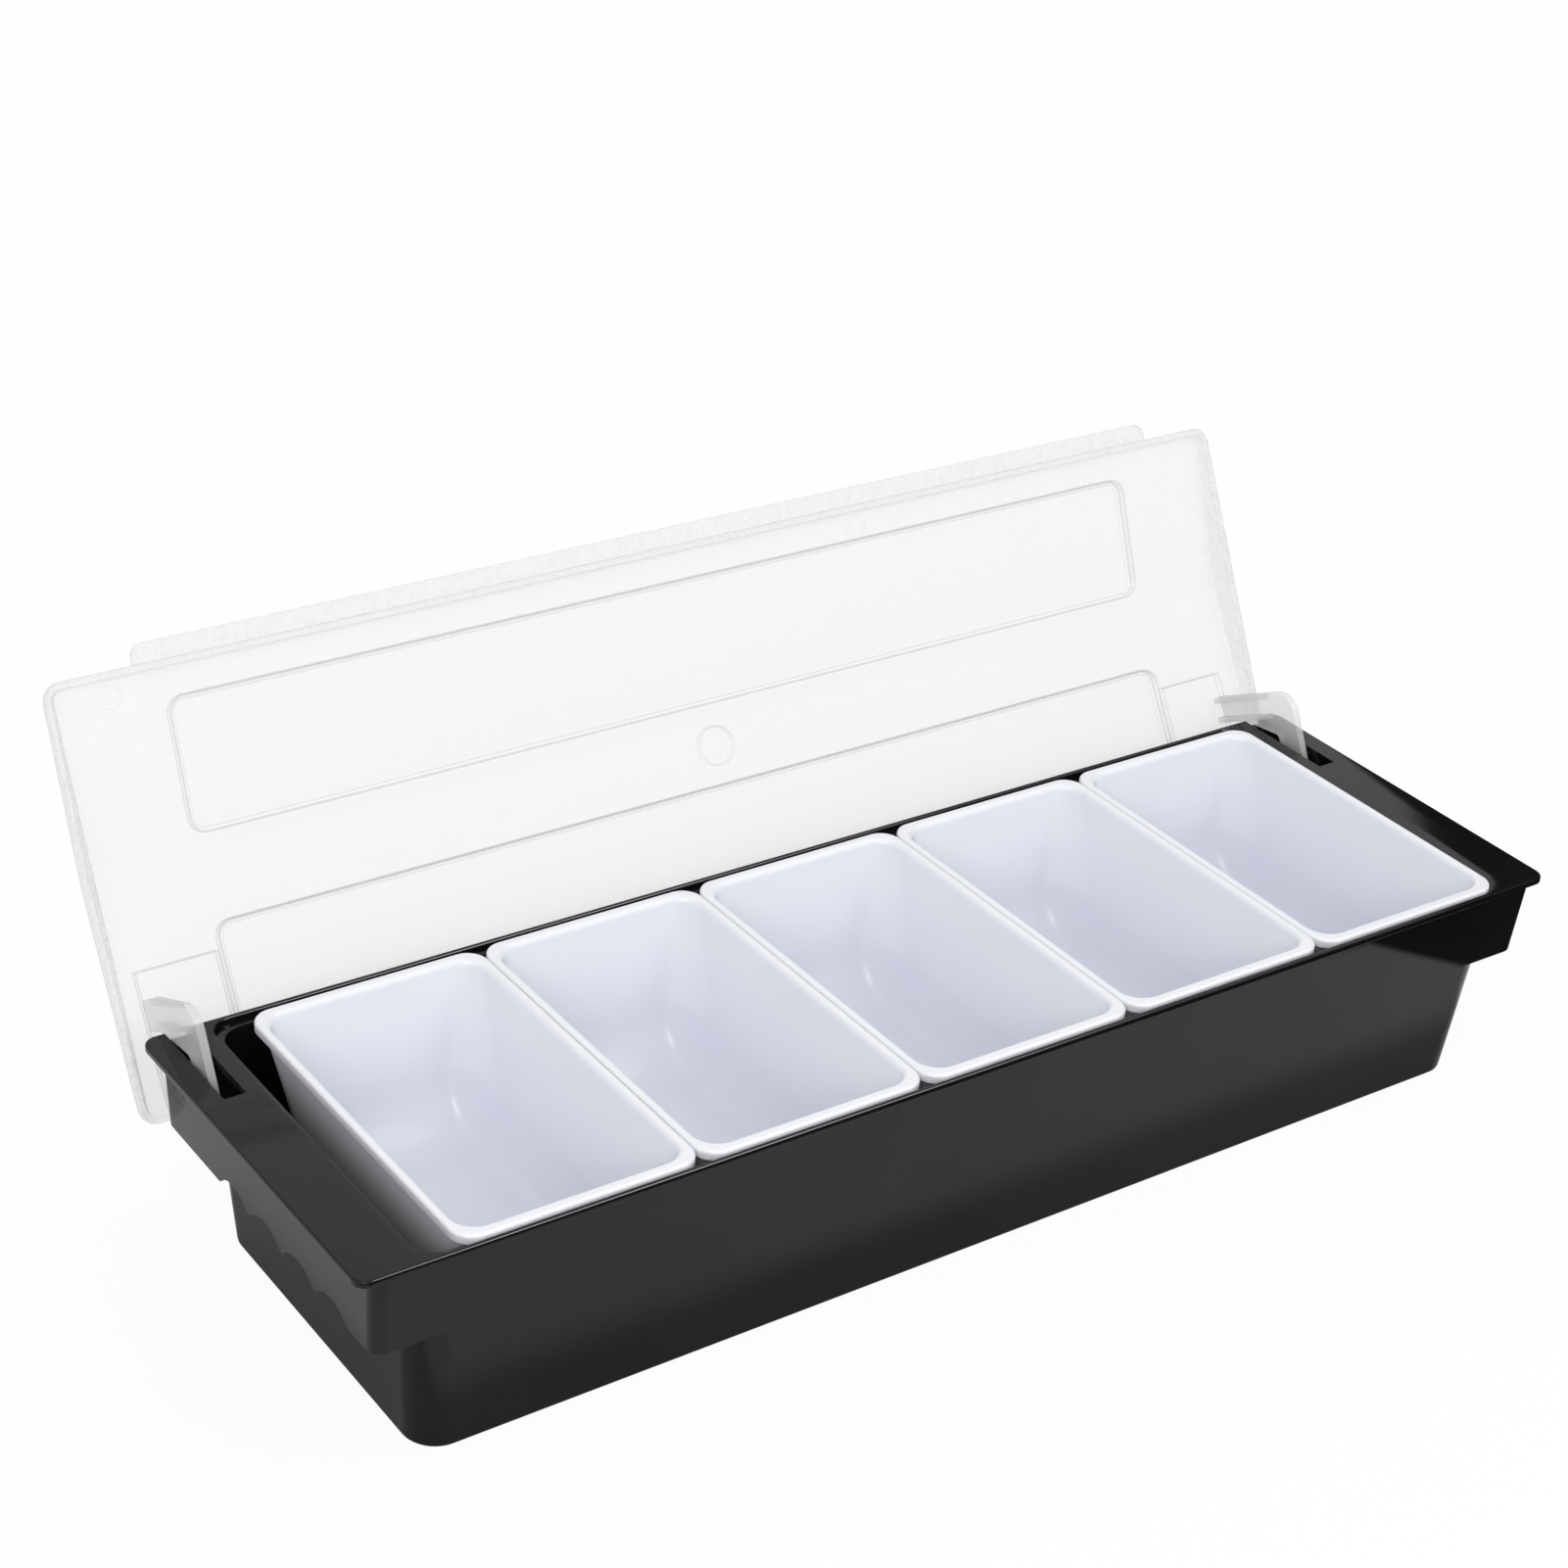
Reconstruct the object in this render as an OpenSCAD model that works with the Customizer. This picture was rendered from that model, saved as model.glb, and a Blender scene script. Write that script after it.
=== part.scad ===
// Five-compartment condiment caddy: a housing, five lift-out inserts and one hinged cover.
// Millimetres. X runs along the row, +Y is the hinge side, +Z is up.
// The origin is the centre of the housing's base. The cover is drawn open.

/* [Inserts] */
// Width of one insert across its lip, along the row
insert_width = 87; // [70:1:110]
// Length of one insert across its lip, front to back
insert_length = 143; // [110:1:180]
// Gap between the lips of neighbouring inserts
insert_gap = 0.4; // [0.3:0.1:1]
// Thickness of the lip
lip_thickness = 3.6; // [3:0.1:5]
// How far the lip stands out past the side walls
lip_side = 1.9; // [1.6:0.1:3]
// How far the lip stands out past the end walls
lip_end = 3; // [2.6:0.1:5]
// Corner radius of the lip in plan
lip_corner = 8; // [6:0.5:12]
// Chamfer along the lip's top edge
lip_chamfer = 0.7; // [0.3:0.1:1]
// Corner radius of the bowl in plan, outside
bowl_corner = 10; // [8:0.5:14]
// Wall thickness of an insert
insert_wall = 1.8; // [1.2:0.1:3]
// Radius between the end walls and the floor of an insert
scoop_radius = 24; // [14:1:30]
// Radius between the side walls and the floor of an insert
side_radius = 12; // [10:1:16]

/* [Housing] */
// Height from the base to the top of the rim
housing_height = 80; // [70:1:110]
// Wall thickness of the well and of the skirts
housing_wall = 2.5; // [2:0.1:3]
// Thickness of the floor
floor_thickness = 2.5; // [2:0.1:5]
// Thickness of the rim plate
rim_thickness = 2.6; // [2.2:0.1:4]
// Corner radius of the rim in plan
rim_corner = 5; // [4:0.5:10]
// Chamfer along the rim's edges
rim_chamfer = 0.8; // [0.5:0.1:1]
// Corner radius of the well in plan
well_corner = 12; // [9:1:20]
// Inward slope of the well's walls and the inserts' walls in degrees
wall_draft = 4.5; // [2:0.5:5]
// Spare length of the recess, left as a gap beside the row
end_play = 13.4; // [2:0.2:30]
// Spare width of the recess, front to back
side_play = 3; // [1:0.5:6]
// Gap between the last insert's lip and the end of the recess
row_gap = 0.5; // [0.3:0.1:1]
// Depth of the recess that holds the lips
recess_depth = 2.4; // [1.5:0.1:2.8]
// Thickness of the ledge that carries the lips
ledge_thickness = 2.4; // [2:0.1:4]
// Width of the ledge in front of the row and behind it
side_ledge = 3; // [2.6:0.1:4]
// Width of the ledge at the ends of the row
end_ledge = 2; // [1.4:0.1:2.1]
// How far the well's walls stand outside the mouth, at the ends
end_step = 3.1; // [1:0.1:4]
// How far the well's walls stand outside the mouth, front and back
side_step = 1.5; // [0.5:0.1:2]
// Room under the inserts for ice
ice_space = 17.5; // [5:0.5:30]
// Width of the rim in front of the recess and behind it
rim_band = 2; // [1.5:0.1:6]
// Width of the rim from the recess to each end
end_band = 22.5; // [22:0.5:40]

/* [End handholds] */
// Depth of the skirt under each end of the rim
skirt_depth = 29; // [24:0.5:34]
// How far the skirt is set in from the rim's end
skirt_setback = 5.5; // [4:0.5:7]
// Corner radius of the skirt in plan
skirt_corner = 5; // [4:0.5:9]
// Inward slope of the skirt's end in degrees
skirt_draft = 2; // [1:0.5:3]
// Number of finger scallops in each end skirt
scallop_count = 4; // [2:1:5]
// Distance between neighbouring scallops
scallop_pitch = 22.3; // [21:0.1:25]
// Radius of a scallop
scallop_radius = 13; // [11:0.5:15]
// Depth of a scallop
scallop_depth = 4.5; // [2:0.5:5.5]
// Place of the middle of the scallops, front to back
scallop_centre = -11.5; // [-20:0.5:0]

/* [Hinge] */
// How far the cover swings from shut to fully open, in degrees
open_angle = 117; // [105:1:117]
// Distance from the rim's back edge to the hinge axis
axis_inset = 13.4; // [13:0.1:15]
// Distance from the rim's top down to the hinge axis
axis_drop = 15; // [14.5:0.5:16]
// Diameter of the stub pins
pin_diameter = 5; // [4:0.5:6]
// Clearance between a pin and its bore, on the radius
pin_clearance = 0.1; // [0.05:0.05:0.1]
// How far a pin reaches into the lug on its inboard side
pin_inboard = 2; // [1:0.5:2.5]
// How far a pin reaches into the skirt on its outboard side
pin_outboard = 1.4; // [1:0.1:1.5]
// Radius of the hub round the pins
hub_radius = 4.5; // [4:0.5:6]
// Radius of the rounded end of an arm
boss_radius = 6.5; // [6.5:0.5:8]
// Thickness of an arm's plate
arm_thickness = 3; // [2:0.5:3]
// Distance from the axis to the far edge of the upright leg
arm_reach = 29.2; // [27:0.1:33]
// Width of the upright leg at the cover
arm_root = 10.4; // [8:0.2:11]
// Width of the upright leg above the hook's inner corner
upright_leg = 17.3; // [15:0.1:18]
// How far below the cover's edge the upright leg starts to widen
arm_flare = 5; // [3:0.5:8]
// Distance from the axis down to the outer edge of the lower leg, cover shut
arm_drop = 21.1; // [19:0.1:23]
// Width of the lower leg
lower_leg = 11.7; // [10:0.1:13]
// Radius of the hook's outer corner
hook_radius = 9; // [5:0.5:10]
// How far a rib stands out at the root of an arm
rib_height = 3; // [1.5:0.5:3]
// Thickness of a rib
rib_thickness = 2.3; // [1.5:0.1:3]
// Distance over which a rib thins out along an arm
rib_run = 30; // [20:1:36]
// Width of the slot that each arm swings in
slot_width = 7.8; // [7.6:0.1:8.5]
// Gap between an arm's outboard face and its slot
arm_gap = 1.2; // [0.5:0.1:1.3]
// Gap between surfaces that move past each other
running_gap = 0.3; // [0.2:0.05:0.4]
// Gap between an arm and the front of its slot
slot_end_gap = 0.4; // [0.3:0.1:1.5]

/* [Cover] */
// Wall thickness of the cover
cover_wall = 2.6; // [2:0.1:3]
// How far the cover stands out past the rim's ends
cover_end_overhang = 1.6; // [1.3:0.1:2.4]
// How far the cover stands out past the rim's front edge
cover_front_overhang = 1; // [0.8:0.1:2]
// How far the cover's back edge stays inside the rim's back edge
cover_back_inset = 2.3; // [1.5:0.1:3]
// Height of the cover's crown above its own edge
crown_height = 13; // [12:0.5:20]
// Height of the cover at its front edge
front_height = 6.6; // [5.5:0.2:9]
// Distance from the hinge axis forward to the crown
crown_place = 70; // [64:1:76]
// Half the width of the rounded ridge at the crown
crown_blend = 8; // [5:1:12]
// Rounding between the cover's top and its skirts
cover_round = 4.2; // [4:0.1:4.8]
// Corner radius of the cover in plan
cover_corner = 6.5; // [6:0.5:10]
// Inward slope of the cover's skirts in degrees
cover_draft = 5; // [1:0.5:8]
// Length of the lift tab along the front
tab_length = 434; // [100:2:470]
// How far the lift tab stands out
tab_reach = 6.8; // [5:0.2:14]
// Corner radius of the lift tab
tab_corner = 4.5; // [2:0.5:5]
// Distance from each end of the cover to its raised panels
panel_inset = 43; // [30:1:60]
// How far the panels stand up
panel_step = 1.2; // [0.6:0.1:1.5]
// Corner radius of the panels
panel_corner = 6; // [3:0.5:10]
// Distance from the cover's front edge to the front panel
panel_margin = 13; // [11:1:16]
// Length of the front panel, front to back
front_panel = 47; // [30:1:48]
// Distance between the two panels
panel_spacing = 30; // [28:1:36]
// Length of the back panel, front to back
back_panel = 44; // [30:1:45]
// Diameter of the gate mark between the panels
gate_diameter = 15; // [6:1:18]
// Depth of the gate mark
gate_depth = 0.6; // [0.3:0.1:1]

/* [Hidden] */
$fn = 48;
eps = 0.01;
INSERTS = ["insert_1", "insert_2", "insert_3", "insert_4", "insert_5"];

insert_count = len(INSERTS);
insert_pitch = insert_width + insert_gap;

// Housing
recess_length = insert_count * insert_pitch - insert_gap + end_play;
recess_width = insert_length + side_play;
recess_corner = lip_corner + row_gap;
mouth_length = recess_length - 2 * end_ledge;
mouth_width = recess_width - 2 * side_ledge;
rim_length = recess_length + 2 * end_band;
rim_width = recess_width + 2 * rim_band;
rim_bottom = housing_height - rim_thickness;
recess_floor = housing_height - recess_depth;
ledge_bottom = recess_floor - ledge_thickness;
well_length = mouth_length + 2 * (end_step + housing_wall);
well_width = mouth_width + 2 * (side_step + housing_wall);
skirt_length = rim_length - 2 * skirt_setback;
skirt_bottom = rim_bottom - skirt_depth;

// Inserts
seat_gap = 0.1;
lip_bottom = recess_floor + seat_gap;
lip_top = lip_bottom + lip_thickness;
insert_bottom = floor_thickness + ice_space;
insert_y = running_gap - side_play / 2;
last_insert_x = recess_length / 2 - row_gap - insert_width / 2;

// Hinge
axis_y = rim_width / 2 - axis_inset;
axis_z = housing_height - axis_drop;
edge_height = axis_drop + running_gap;
slot_outer = skirt_length / 2 - housing_wall - 0.5;
slot_inner = slot_outer - slot_width;
hook_sweep = norm([arm_reach - hook_radius, arm_drop - hook_radius]) + hook_radius;
hook_reach = sqrt(pow(hook_sweep, 2) - pow(rim_bottom - axis_z, 2));
slot_front = axis_y - max(arm_reach, hook_reach) - slot_end_gap;
arm_outer = slot_outer - arm_gap;
arm_inner = arm_outer - arm_thickness;
pin_inner = slot_inner - pin_inboard;
pin_outer = slot_outer + pin_outboard;
pin_end_gap = 0.2;

// Cover: lengths along the cover are measured forward from the hinge axis
rim_sweep = norm([axis_inset, axis_drop - rim_chamfer]);
relief_radius = rim_sweep + 2 * running_gap;
hinge_radius = relief_radius + cover_wall - running_gap;
cover_length = rim_length + 2 * cover_end_overhang;
cover_front = axis_y + rim_width / 2 + cover_front_overhang;
cover_back = cover_back_inset - axis_inset;
cover_width = cover_front - cover_back;
cover_middle = (cover_front + cover_back) / 2;
crown_z = edge_height + crown_height;
front_slope = atan((crown_height - front_height) / (cover_front - crown_place));
back_slope = atan(crown_z / crown_place) - asin(hinge_radius / norm([crown_place, crown_z]));
crown_cut = crown_blend * (tan(front_slope) + tan(back_slope)) / 4;
panel_length = cover_length - 2 * panel_inset;

// Height of the cover's outside above its edge on its two slopes
function front_top(reach) = crown_height - (reach - crown_place) * tan(front_slope);
function back_top(reach) = crown_height - (crown_place - reach) * tan(back_slope);

module rounded_rectangle(length, width, radius) {
    square([length - 2 * radius, width], center = true);
    square([length, width - 2 * radius], center = true);
    for (x = [-1, 1], y = [-1, 1])
        translate([x * (length / 2 - radius), y * (width / 2 - radius)]) circle(radius);
}

module plate(length, width, radius, bottom, top) {
    translate([0, 0, bottom]) linear_extrude(top - bottom) rounded_rectangle(length, width, radius);
}

// A rounded box whose ends and sides slope inwards from its top down to its bottom
module tapered_box(length, width, radius, bottom, top, end_draft, side_draft) {
    end_inset = (top - bottom) * tan(end_draft);
    side_inset = (top - bottom) * tan(side_draft);
    hull() {
        plate(length, width, radius, top - eps, top, $fn = 32);
        plate(length - 2 * end_inset, width - 2 * side_inset, radius, bottom, bottom + eps, $fn = 32);
    }
}

// A plate with a chamfer along its top edge
module chamfered_plate(length, width, radius, bottom, top, chamfer) {
    hull() {
        plate(length, width, radius, bottom, top - chamfer, $fn = 32);
        plate(length - 2 * chamfer, width - 2 * chamfer, radius - chamfer, bottom, top, $fn = 32);
    }
}

module well_outside() {
    tapered_box(well_length, well_width, well_corner, 0, rim_bottom, wall_draft, wall_draft);
    plate(well_length, well_width, well_corner, rim_bottom - eps, rim_bottom + eps);
}

module well_inside() {
    tapered_box(well_length - 2 * housing_wall, well_width - 2 * housing_wall,
        well_corner - housing_wall, floor_thickness, ledge_bottom, wall_draft, wall_draft);
}

module skirt_form(inset, bottom) {
    tapered_box(skirt_length - 2 * inset, well_width - 2 * inset, skirt_corner - inset,
        bottom, rim_bottom + eps, skirt_draft, wall_draft);
}

// The end skirts: they wrap round under each end of the rim, from front wall to back wall
module skirts() {
    difference() {
        skirt_form(0, skirt_bottom);
        skirt_form(housing_wall, skirt_bottom - eps);
        cube([well_length - 2 * well_corner, rim_width, 2 * housing_height], center = true);
    }
}

module scallops() {
    for (side = [-1, 1], i = [0 : scallop_count - 1])
        translate([side * skirt_length / 2,
                scallop_centre + (i - (scallop_count - 1) / 2) * scallop_pitch,
                skirt_bottom - scallop_radius + scallop_depth])
            rotate([0, 90, 0])
                cylinder(r = scallop_radius, h = 4 * housing_wall, center = true);
}

// Bearing lugs on both sides of a slot, hanging from the rim
module lugs() {
    bottom = axis_z - boss_radius;
    inboard = well_length / 2 - housing_wall;
    for (side = [0, 1]) mirror([side, 0, 0]) {
        translate([inboard, axis_y - boss_radius, bottom])
            cube([slot_inner - inboard, 2 * boss_radius, rim_bottom - bottom + eps]);
        translate([slot_outer, axis_y - boss_radius, bottom])
            cube([housing_wall / 2, 2 * boss_radius, rim_bottom - bottom + eps]);
    }
}

// The slots that the arms swing in, open through the rim's back edge
module slots() {
    for (side = [0, 1]) mirror([side, 0, 0])
        translate([slot_inner, slot_front, rim_bottom - eps])
            cube([slot_width, rim_width, rim_thickness + 2 * eps]);
}

module pin_bores() {
    for (side = [0, 1]) mirror([side, 0, 0])
        translate([pin_inner - pin_end_gap, axis_y, axis_z]) rotate([0, 90, 0])
            cylinder(r = pin_diameter / 2 + pin_clearance, h = pin_outer - pin_inner + 2 * pin_end_gap);
}

// The recess for the lips, with a chamfer along its top edge
module recess() {
    edge = housing_height - rim_chamfer;
    plate(recess_length, recess_width, recess_corner, recess_floor, edge + eps);
    hull() {
        plate(recess_length, recess_width, recess_corner, edge, edge + eps, $fn = 32);
        plate(recess_length + 2 * rim_chamfer, recess_width + 2 * rim_chamfer,
            recess_corner + rim_chamfer, housing_height, housing_height + eps, $fn = 32);
    }
}

module housing() {
    color("#1c1c1e") difference() {
        union() {
            chamfered_plate(rim_length, rim_width, rim_corner, rim_bottom, housing_height, rim_chamfer);
            well_outside();
            skirts();
            lugs();
        }
        well_inside();
        plate(mouth_length, mouth_width, well_corner - side_ledge, ledge_bottom - eps, housing_height);
        recess();
        slots();
        scallops();
        pin_bores();
    }
}

// The outside of an insert's bowl or, with its wall taken off all round, its hollow
module bowl(inset, top) {
    width = insert_width - 2 * (lip_side + inset);
    length = insert_length - 2 * (lip_end + inset);
    bottom = insert_bottom + inset;
    slope = (lip_bottom - bottom) * tan(wall_draft);
    side = side_radius - inset;
    scoop = scoop_radius - inset;
    hull() {
        plate(width, length, bowl_corner - inset, top - eps, top, $fn = 28);
        for (x = [-1, 1], y = [-1, 1])
            translate([x * (width / 2 - slope - side), y * (length / 2 - slope - scoop), bottom + scoop])
                scale([side, scoop, scoop]) sphere(1, $fn = 28);
    }
}

module insert(index) {
    translate([last_insert_x - (insert_count - index) * insert_pitch, insert_y, 0])
        color("#eeeef2") difference() {
            union() {
                chamfered_plate(insert_width, insert_length, lip_corner, lip_bottom, lip_top, lip_chamfer);
                bowl(0, lip_bottom + eps);
            }
            bowl(insert_wall, lip_top + eps);
        }
}

module dome(radius) {
    rotate_extrude($fn = 24) intersection() {
        circle(radius, $fn = 24);
        square(radius);
    }
}

// A pair of domes, one at each end of the cover, at a place on its profile
module dome_pair(reach, centre, radius) {
    half = cover_length / 2 - cover_round - centre * tan(cover_draft);
    for (side = [-1, 1]) translate([side * half, -reach, centre]) dome(radius);
}

// The cover's outside or, with its wall taken off all round, its hollow
module cover_form(inset) {
    radius = cover_round - inset;
    turn = hinge_radius - cover_round;
    last_turn = asin(-(cover_back + cover_round) / turn);
    hull() {
        translate([0, -cover_middle, 0])
            plate(cover_length - 2 * inset, cover_width - 2 * inset, cover_corner - inset,
                inset > 0 ? -eps : 0, 1, $fn = 24);
        dome_pair(cover_front - cover_round, front_height - cover_round, radius);
        dome_pair(crown_place + crown_blend, front_top(crown_place + crown_blend) - cover_round, radius);
        dome_pair(crown_place, crown_height - crown_cut - cover_round, radius);
        dome_pair(crown_place - crown_blend, back_top(crown_place - crown_blend) - cover_round, radius);
        for (i = [0 : 3]) {
            angle = back_slope + (last_turn - back_slope) * i / 3;
            dome_pair(-turn * sin(angle), turn * cos(angle) - edge_height, radius);
        }
    }
}

// A raised panel between two distances forward of the axis
module panel(from, to, slope, top) {
    translate([0, -(from + to) / 2, top]) rotate([slope, 0, 0])
        translate([0, 0, -1]) linear_extrude(1 + panel_step)
            rounded_rectangle(panel_length, to - from, panel_corner);
}

module panels(lift) {
    front_to = cover_front - panel_margin;
    front_from = front_to - front_panel;
    back_to = front_from - panel_spacing;
    back_from = back_to - back_panel;
    panel(front_from, front_to, front_slope, front_top((front_from + front_to) / 2) + lift);
    panel(back_from, back_to, -back_slope, back_top((back_from + back_to) / 2) + lift);
}

// Space that the rim's back edge needs under the cover as it swings
module swing_relief() {
    rotate([0, 90, 0])
        cylinder(r = relief_radius, h = rim_length + 2 * running_gap, center = true, $fn = 96);
}

// Space that the housing's back wall needs once the cover leans open
module back_wall_relief() {
    rotate([open_angle, 0, 0])
        translate([0, well_width / 2 - axis_y + running_gap, rim_bottom - axis_z])
            rotate([-wall_draft, 0, 0])
                translate([-rim_length / 2 - running_gap, -rim_width, -rim_bottom])
                    cube([rim_length + 2 * running_gap, rim_width, rim_bottom]);
}

module tab() {
    length = tab_reach + 2 * tab_corner;
    translate([0, -cover_front - tab_reach + length / 2, 0]) linear_extrude(cover_wall)
        rounded_rectangle(tab_length, length, tab_corner);
}

// The cover without its arms, standing on its edge height above the hinge axis
module cover_shell() {
    gate_place = crown_place - crown_blend;
    difference() {
        translate([0, 0, edge_height]) difference() {
            union() {
                cover_form(0);
                panels(0);
                tab();
            }
            cover_form(cover_wall);
            panels(-cover_wall);
            translate([0, -gate_place, 0])
                cylinder(d = gate_diameter, h = back_top(gate_place) - cover_wall + gate_depth);
        }
        swing_relief();
        back_wall_relief();
    }
}

// Height above the axis of the middle of the cover's wall, where an arm is rooted
function root_height(reach) = edge_height + back_top(reach) - cover_wall / 2;

// The profile of an arm, cover shut: X is forward of the axis, Y is above it
module arm_profile() {
    root = arm_reach - arm_root;
    corner = arm_reach - upright_leg;
    polygon([[corner, hook_radius - arm_drop], [arm_reach, hook_radius - arm_drop],
        [arm_reach, root_height(root)], [root, root_height(root)],
        [root, edge_height - arm_flare], [corner, lower_leg - arm_drop]]);
    translate([0, -arm_drop]) square([arm_reach - hook_radius, lower_leg]);
    translate([arm_reach - hook_radius, hook_radius - arm_drop]) circle(hook_radius);
    translate([-boss_radius, boss_radius - arm_drop]) square([2 * boss_radius, arm_drop - boss_radius]);
    translate([0, boss_radius - arm_drop]) circle(boss_radius);
    circle(boss_radius);
}

// A rib on the inboard face of an arm, thinning out away from the cover
module rib(from) {
    root = root_height(from);
    translate([0, -from, 0]) rotate([90, 0, 0]) linear_extrude(rib_thickness)
        polygon([[arm_inner - rib_height, root], [arm_inner + eps, root],
            [arm_inner + eps, root - rib_run]]);
}

module arm() {
    translate([arm_inner, 0, 0]) rotate([90, 0, -90]) mirror([0, 0, 1])
        linear_extrude(arm_thickness) arm_profile();
    rib(arm_reach - rib_thickness);
    rib(arm_reach - arm_root);
    translate([slot_inner + running_gap, 0, 0]) rotate([0, 90, 0])
        cylinder(r = hub_radius, h = slot_width - 2 * running_gap);
    translate([pin_inner, 0, 0]) rotate([0, 90, 0])
        cylinder(d = pin_diameter, h = pin_outer - pin_inner);
}

module cover() {
    translate([0, axis_y, axis_z]) rotate([-open_angle, 0, 0]) color("#e9edf0") {
        cover_shell();
        for (side = [0, 1]) mirror([side, 0, 0]) arm();
    }
}

housing();
insert(1);  // insert_1
insert(2);  // insert_2
insert(3);  // insert_3
insert(4);  // insert_4
insert(5);  // insert_5
cover();
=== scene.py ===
import logging
import math
from dataclasses import dataclass, field
from enum import Enum
from typing import Any, Callable, Iterable, Sequence

import bmesh
import bpy
from bmesh.types import BMEdge, BMesh, BMFace, BMVert
from mathutils import Matrix, Vector


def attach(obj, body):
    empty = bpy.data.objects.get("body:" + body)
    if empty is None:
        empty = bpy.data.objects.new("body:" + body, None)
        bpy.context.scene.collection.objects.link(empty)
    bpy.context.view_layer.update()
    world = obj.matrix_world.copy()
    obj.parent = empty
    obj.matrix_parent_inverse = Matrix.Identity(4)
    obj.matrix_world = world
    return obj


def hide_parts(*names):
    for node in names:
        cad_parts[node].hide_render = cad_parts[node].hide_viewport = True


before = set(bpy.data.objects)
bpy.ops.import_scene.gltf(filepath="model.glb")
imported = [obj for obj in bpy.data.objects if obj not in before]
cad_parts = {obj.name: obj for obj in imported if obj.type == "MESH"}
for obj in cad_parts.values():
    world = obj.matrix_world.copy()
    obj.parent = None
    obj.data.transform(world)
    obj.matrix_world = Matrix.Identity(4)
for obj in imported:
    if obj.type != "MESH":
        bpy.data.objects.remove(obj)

LOG = logging.getLogger("condiment_caddy")
MM = 0.001  # one millimetre, in metres
NEAR = 1e-3  # places closer than this, in millimetres, count as one
LEAST_CORNER = 0.2  # the smallest corner radius of an outline, in millimetres
SLIGHT = 1e-6  # a part of a direction that is smaller than this counts as none
WHITE = (1.0, 1.0, 1.0, 1.0)
INSERT_COUNT = 5

Colour = tuple[float, float, float]
Place = tuple[float, float, float]
Span = tuple[float, float]


class Body(Enum):
    """The moving bodies that the pieces ride on."""

    HOUSING = "housing"
    COVER = "cover"
    INSERT_1 = "insert_1"
    INSERT_2 = "insert_2"
    INSERT_3 = "insert_3"
    INSERT_4 = "insert_4"
    INSERT_5 = "insert_5"


class Slot(Enum):
    """The record's material slots."""

    HOUSING = "housing"
    INSERT = "insert"
    COVER = "cover"


@dataclass(frozen=True)
class Hinge:
    """The axis that the cover swings about, in millimetres, and how far it opens."""

    y: float = 61.6
    z: float = 65.0
    open_angle: float = 117.0


@dataclass(frozen=True)
class Panels:
    """The cover's two panels, raised outside and sunk inside: spans forward of the hinge."""

    half_length: float = 206.1
    corner: float = 6.0
    spans: tuple[Span, ...] = ((3.6, 47.6), (77.6, 124.6))


# ---------------------------------------------------------------- shader maths


class Value:
    """A number that varies over a surface: one socket, with Python's operators."""

    def __init__(self, graph: "Graph", socket: bpy.types.NodeSocket) -> None:
        """Wrap a socket.

        Args:
            graph: The graph that the socket's node belongs to.
            socket: The output socket that carries the number.
        """
        self.graph = graph
        self.socket = socket

    def _math(self, operation: str, *values: Any) -> "Value":
        """Add a Math node.

        Args:
            operation: The node's operation.
            *values: The numbers or Values that it works on, in order.

        Returns:
            The node's result.
        """
        node = self.graph.node("ShaderNodeMath", {"operation": operation},
                               dict(enumerate(values)))
        return Value(self.graph, node.outputs[0])

    def __add__(self, other: Any) -> "Value":
        """Return self + other."""
        return self._math("ADD", self, other)

    def __radd__(self, other: Any) -> "Value":
        """Return other + self."""
        return self._math("ADD", other, self)

    def __sub__(self, other: Any) -> "Value":
        """Return self - other."""
        return self._math("SUBTRACT", self, other)

    def __rsub__(self, other: Any) -> "Value":
        """Return other - self."""
        return self._math("SUBTRACT", other, self)

    def __mul__(self, other: Any) -> "Value":
        """Return self * other."""
        return self._math("MULTIPLY", self, other)

    def __rmul__(self, other: Any) -> "Value":
        """Return other * self."""
        return self._math("MULTIPLY", other, self)

    def __neg__(self) -> "Value":
        """Return -self."""
        return self._math("MULTIPLY", self, -1.0)

    def __abs__(self) -> "Value":
        """Return the distance from zero."""
        return self._math("ABSOLUTE", self)

    def power(self, exponent: Any) -> "Value":
        """Return self raised to a power."""
        return self._math("POWER", self, exponent)

    def least(self, other: Any) -> "Value":
        """Return the smaller of self and other."""
        return self._math("MINIMUM", self, other)

    def most(self, other: Any) -> "Value":
        """Return the larger of self and other."""
        return self._math("MAXIMUM", self, other)

    def ramp(self, low: float, high: float, start: float = 0.0, end: float = 1.0) -> "Value":
        """Run smoothly from start to end as self goes from low to high.

        Args:
            low: The value at which the ramp starts.
            high: The value at which it ends.
            start: The result up to low.
            end: The result from high on.

        Returns:
            The ramp's value, held at both ends.
        """
        node = self.graph.node("ShaderNodeMapRange",
                               {"interpolation_type": "SMOOTHSTEP", "clamp": True},
                               {0: self, 1: low, 2: high, 3: start, 4: end})
        return Value(self.graph, node.outputs[0])


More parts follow.
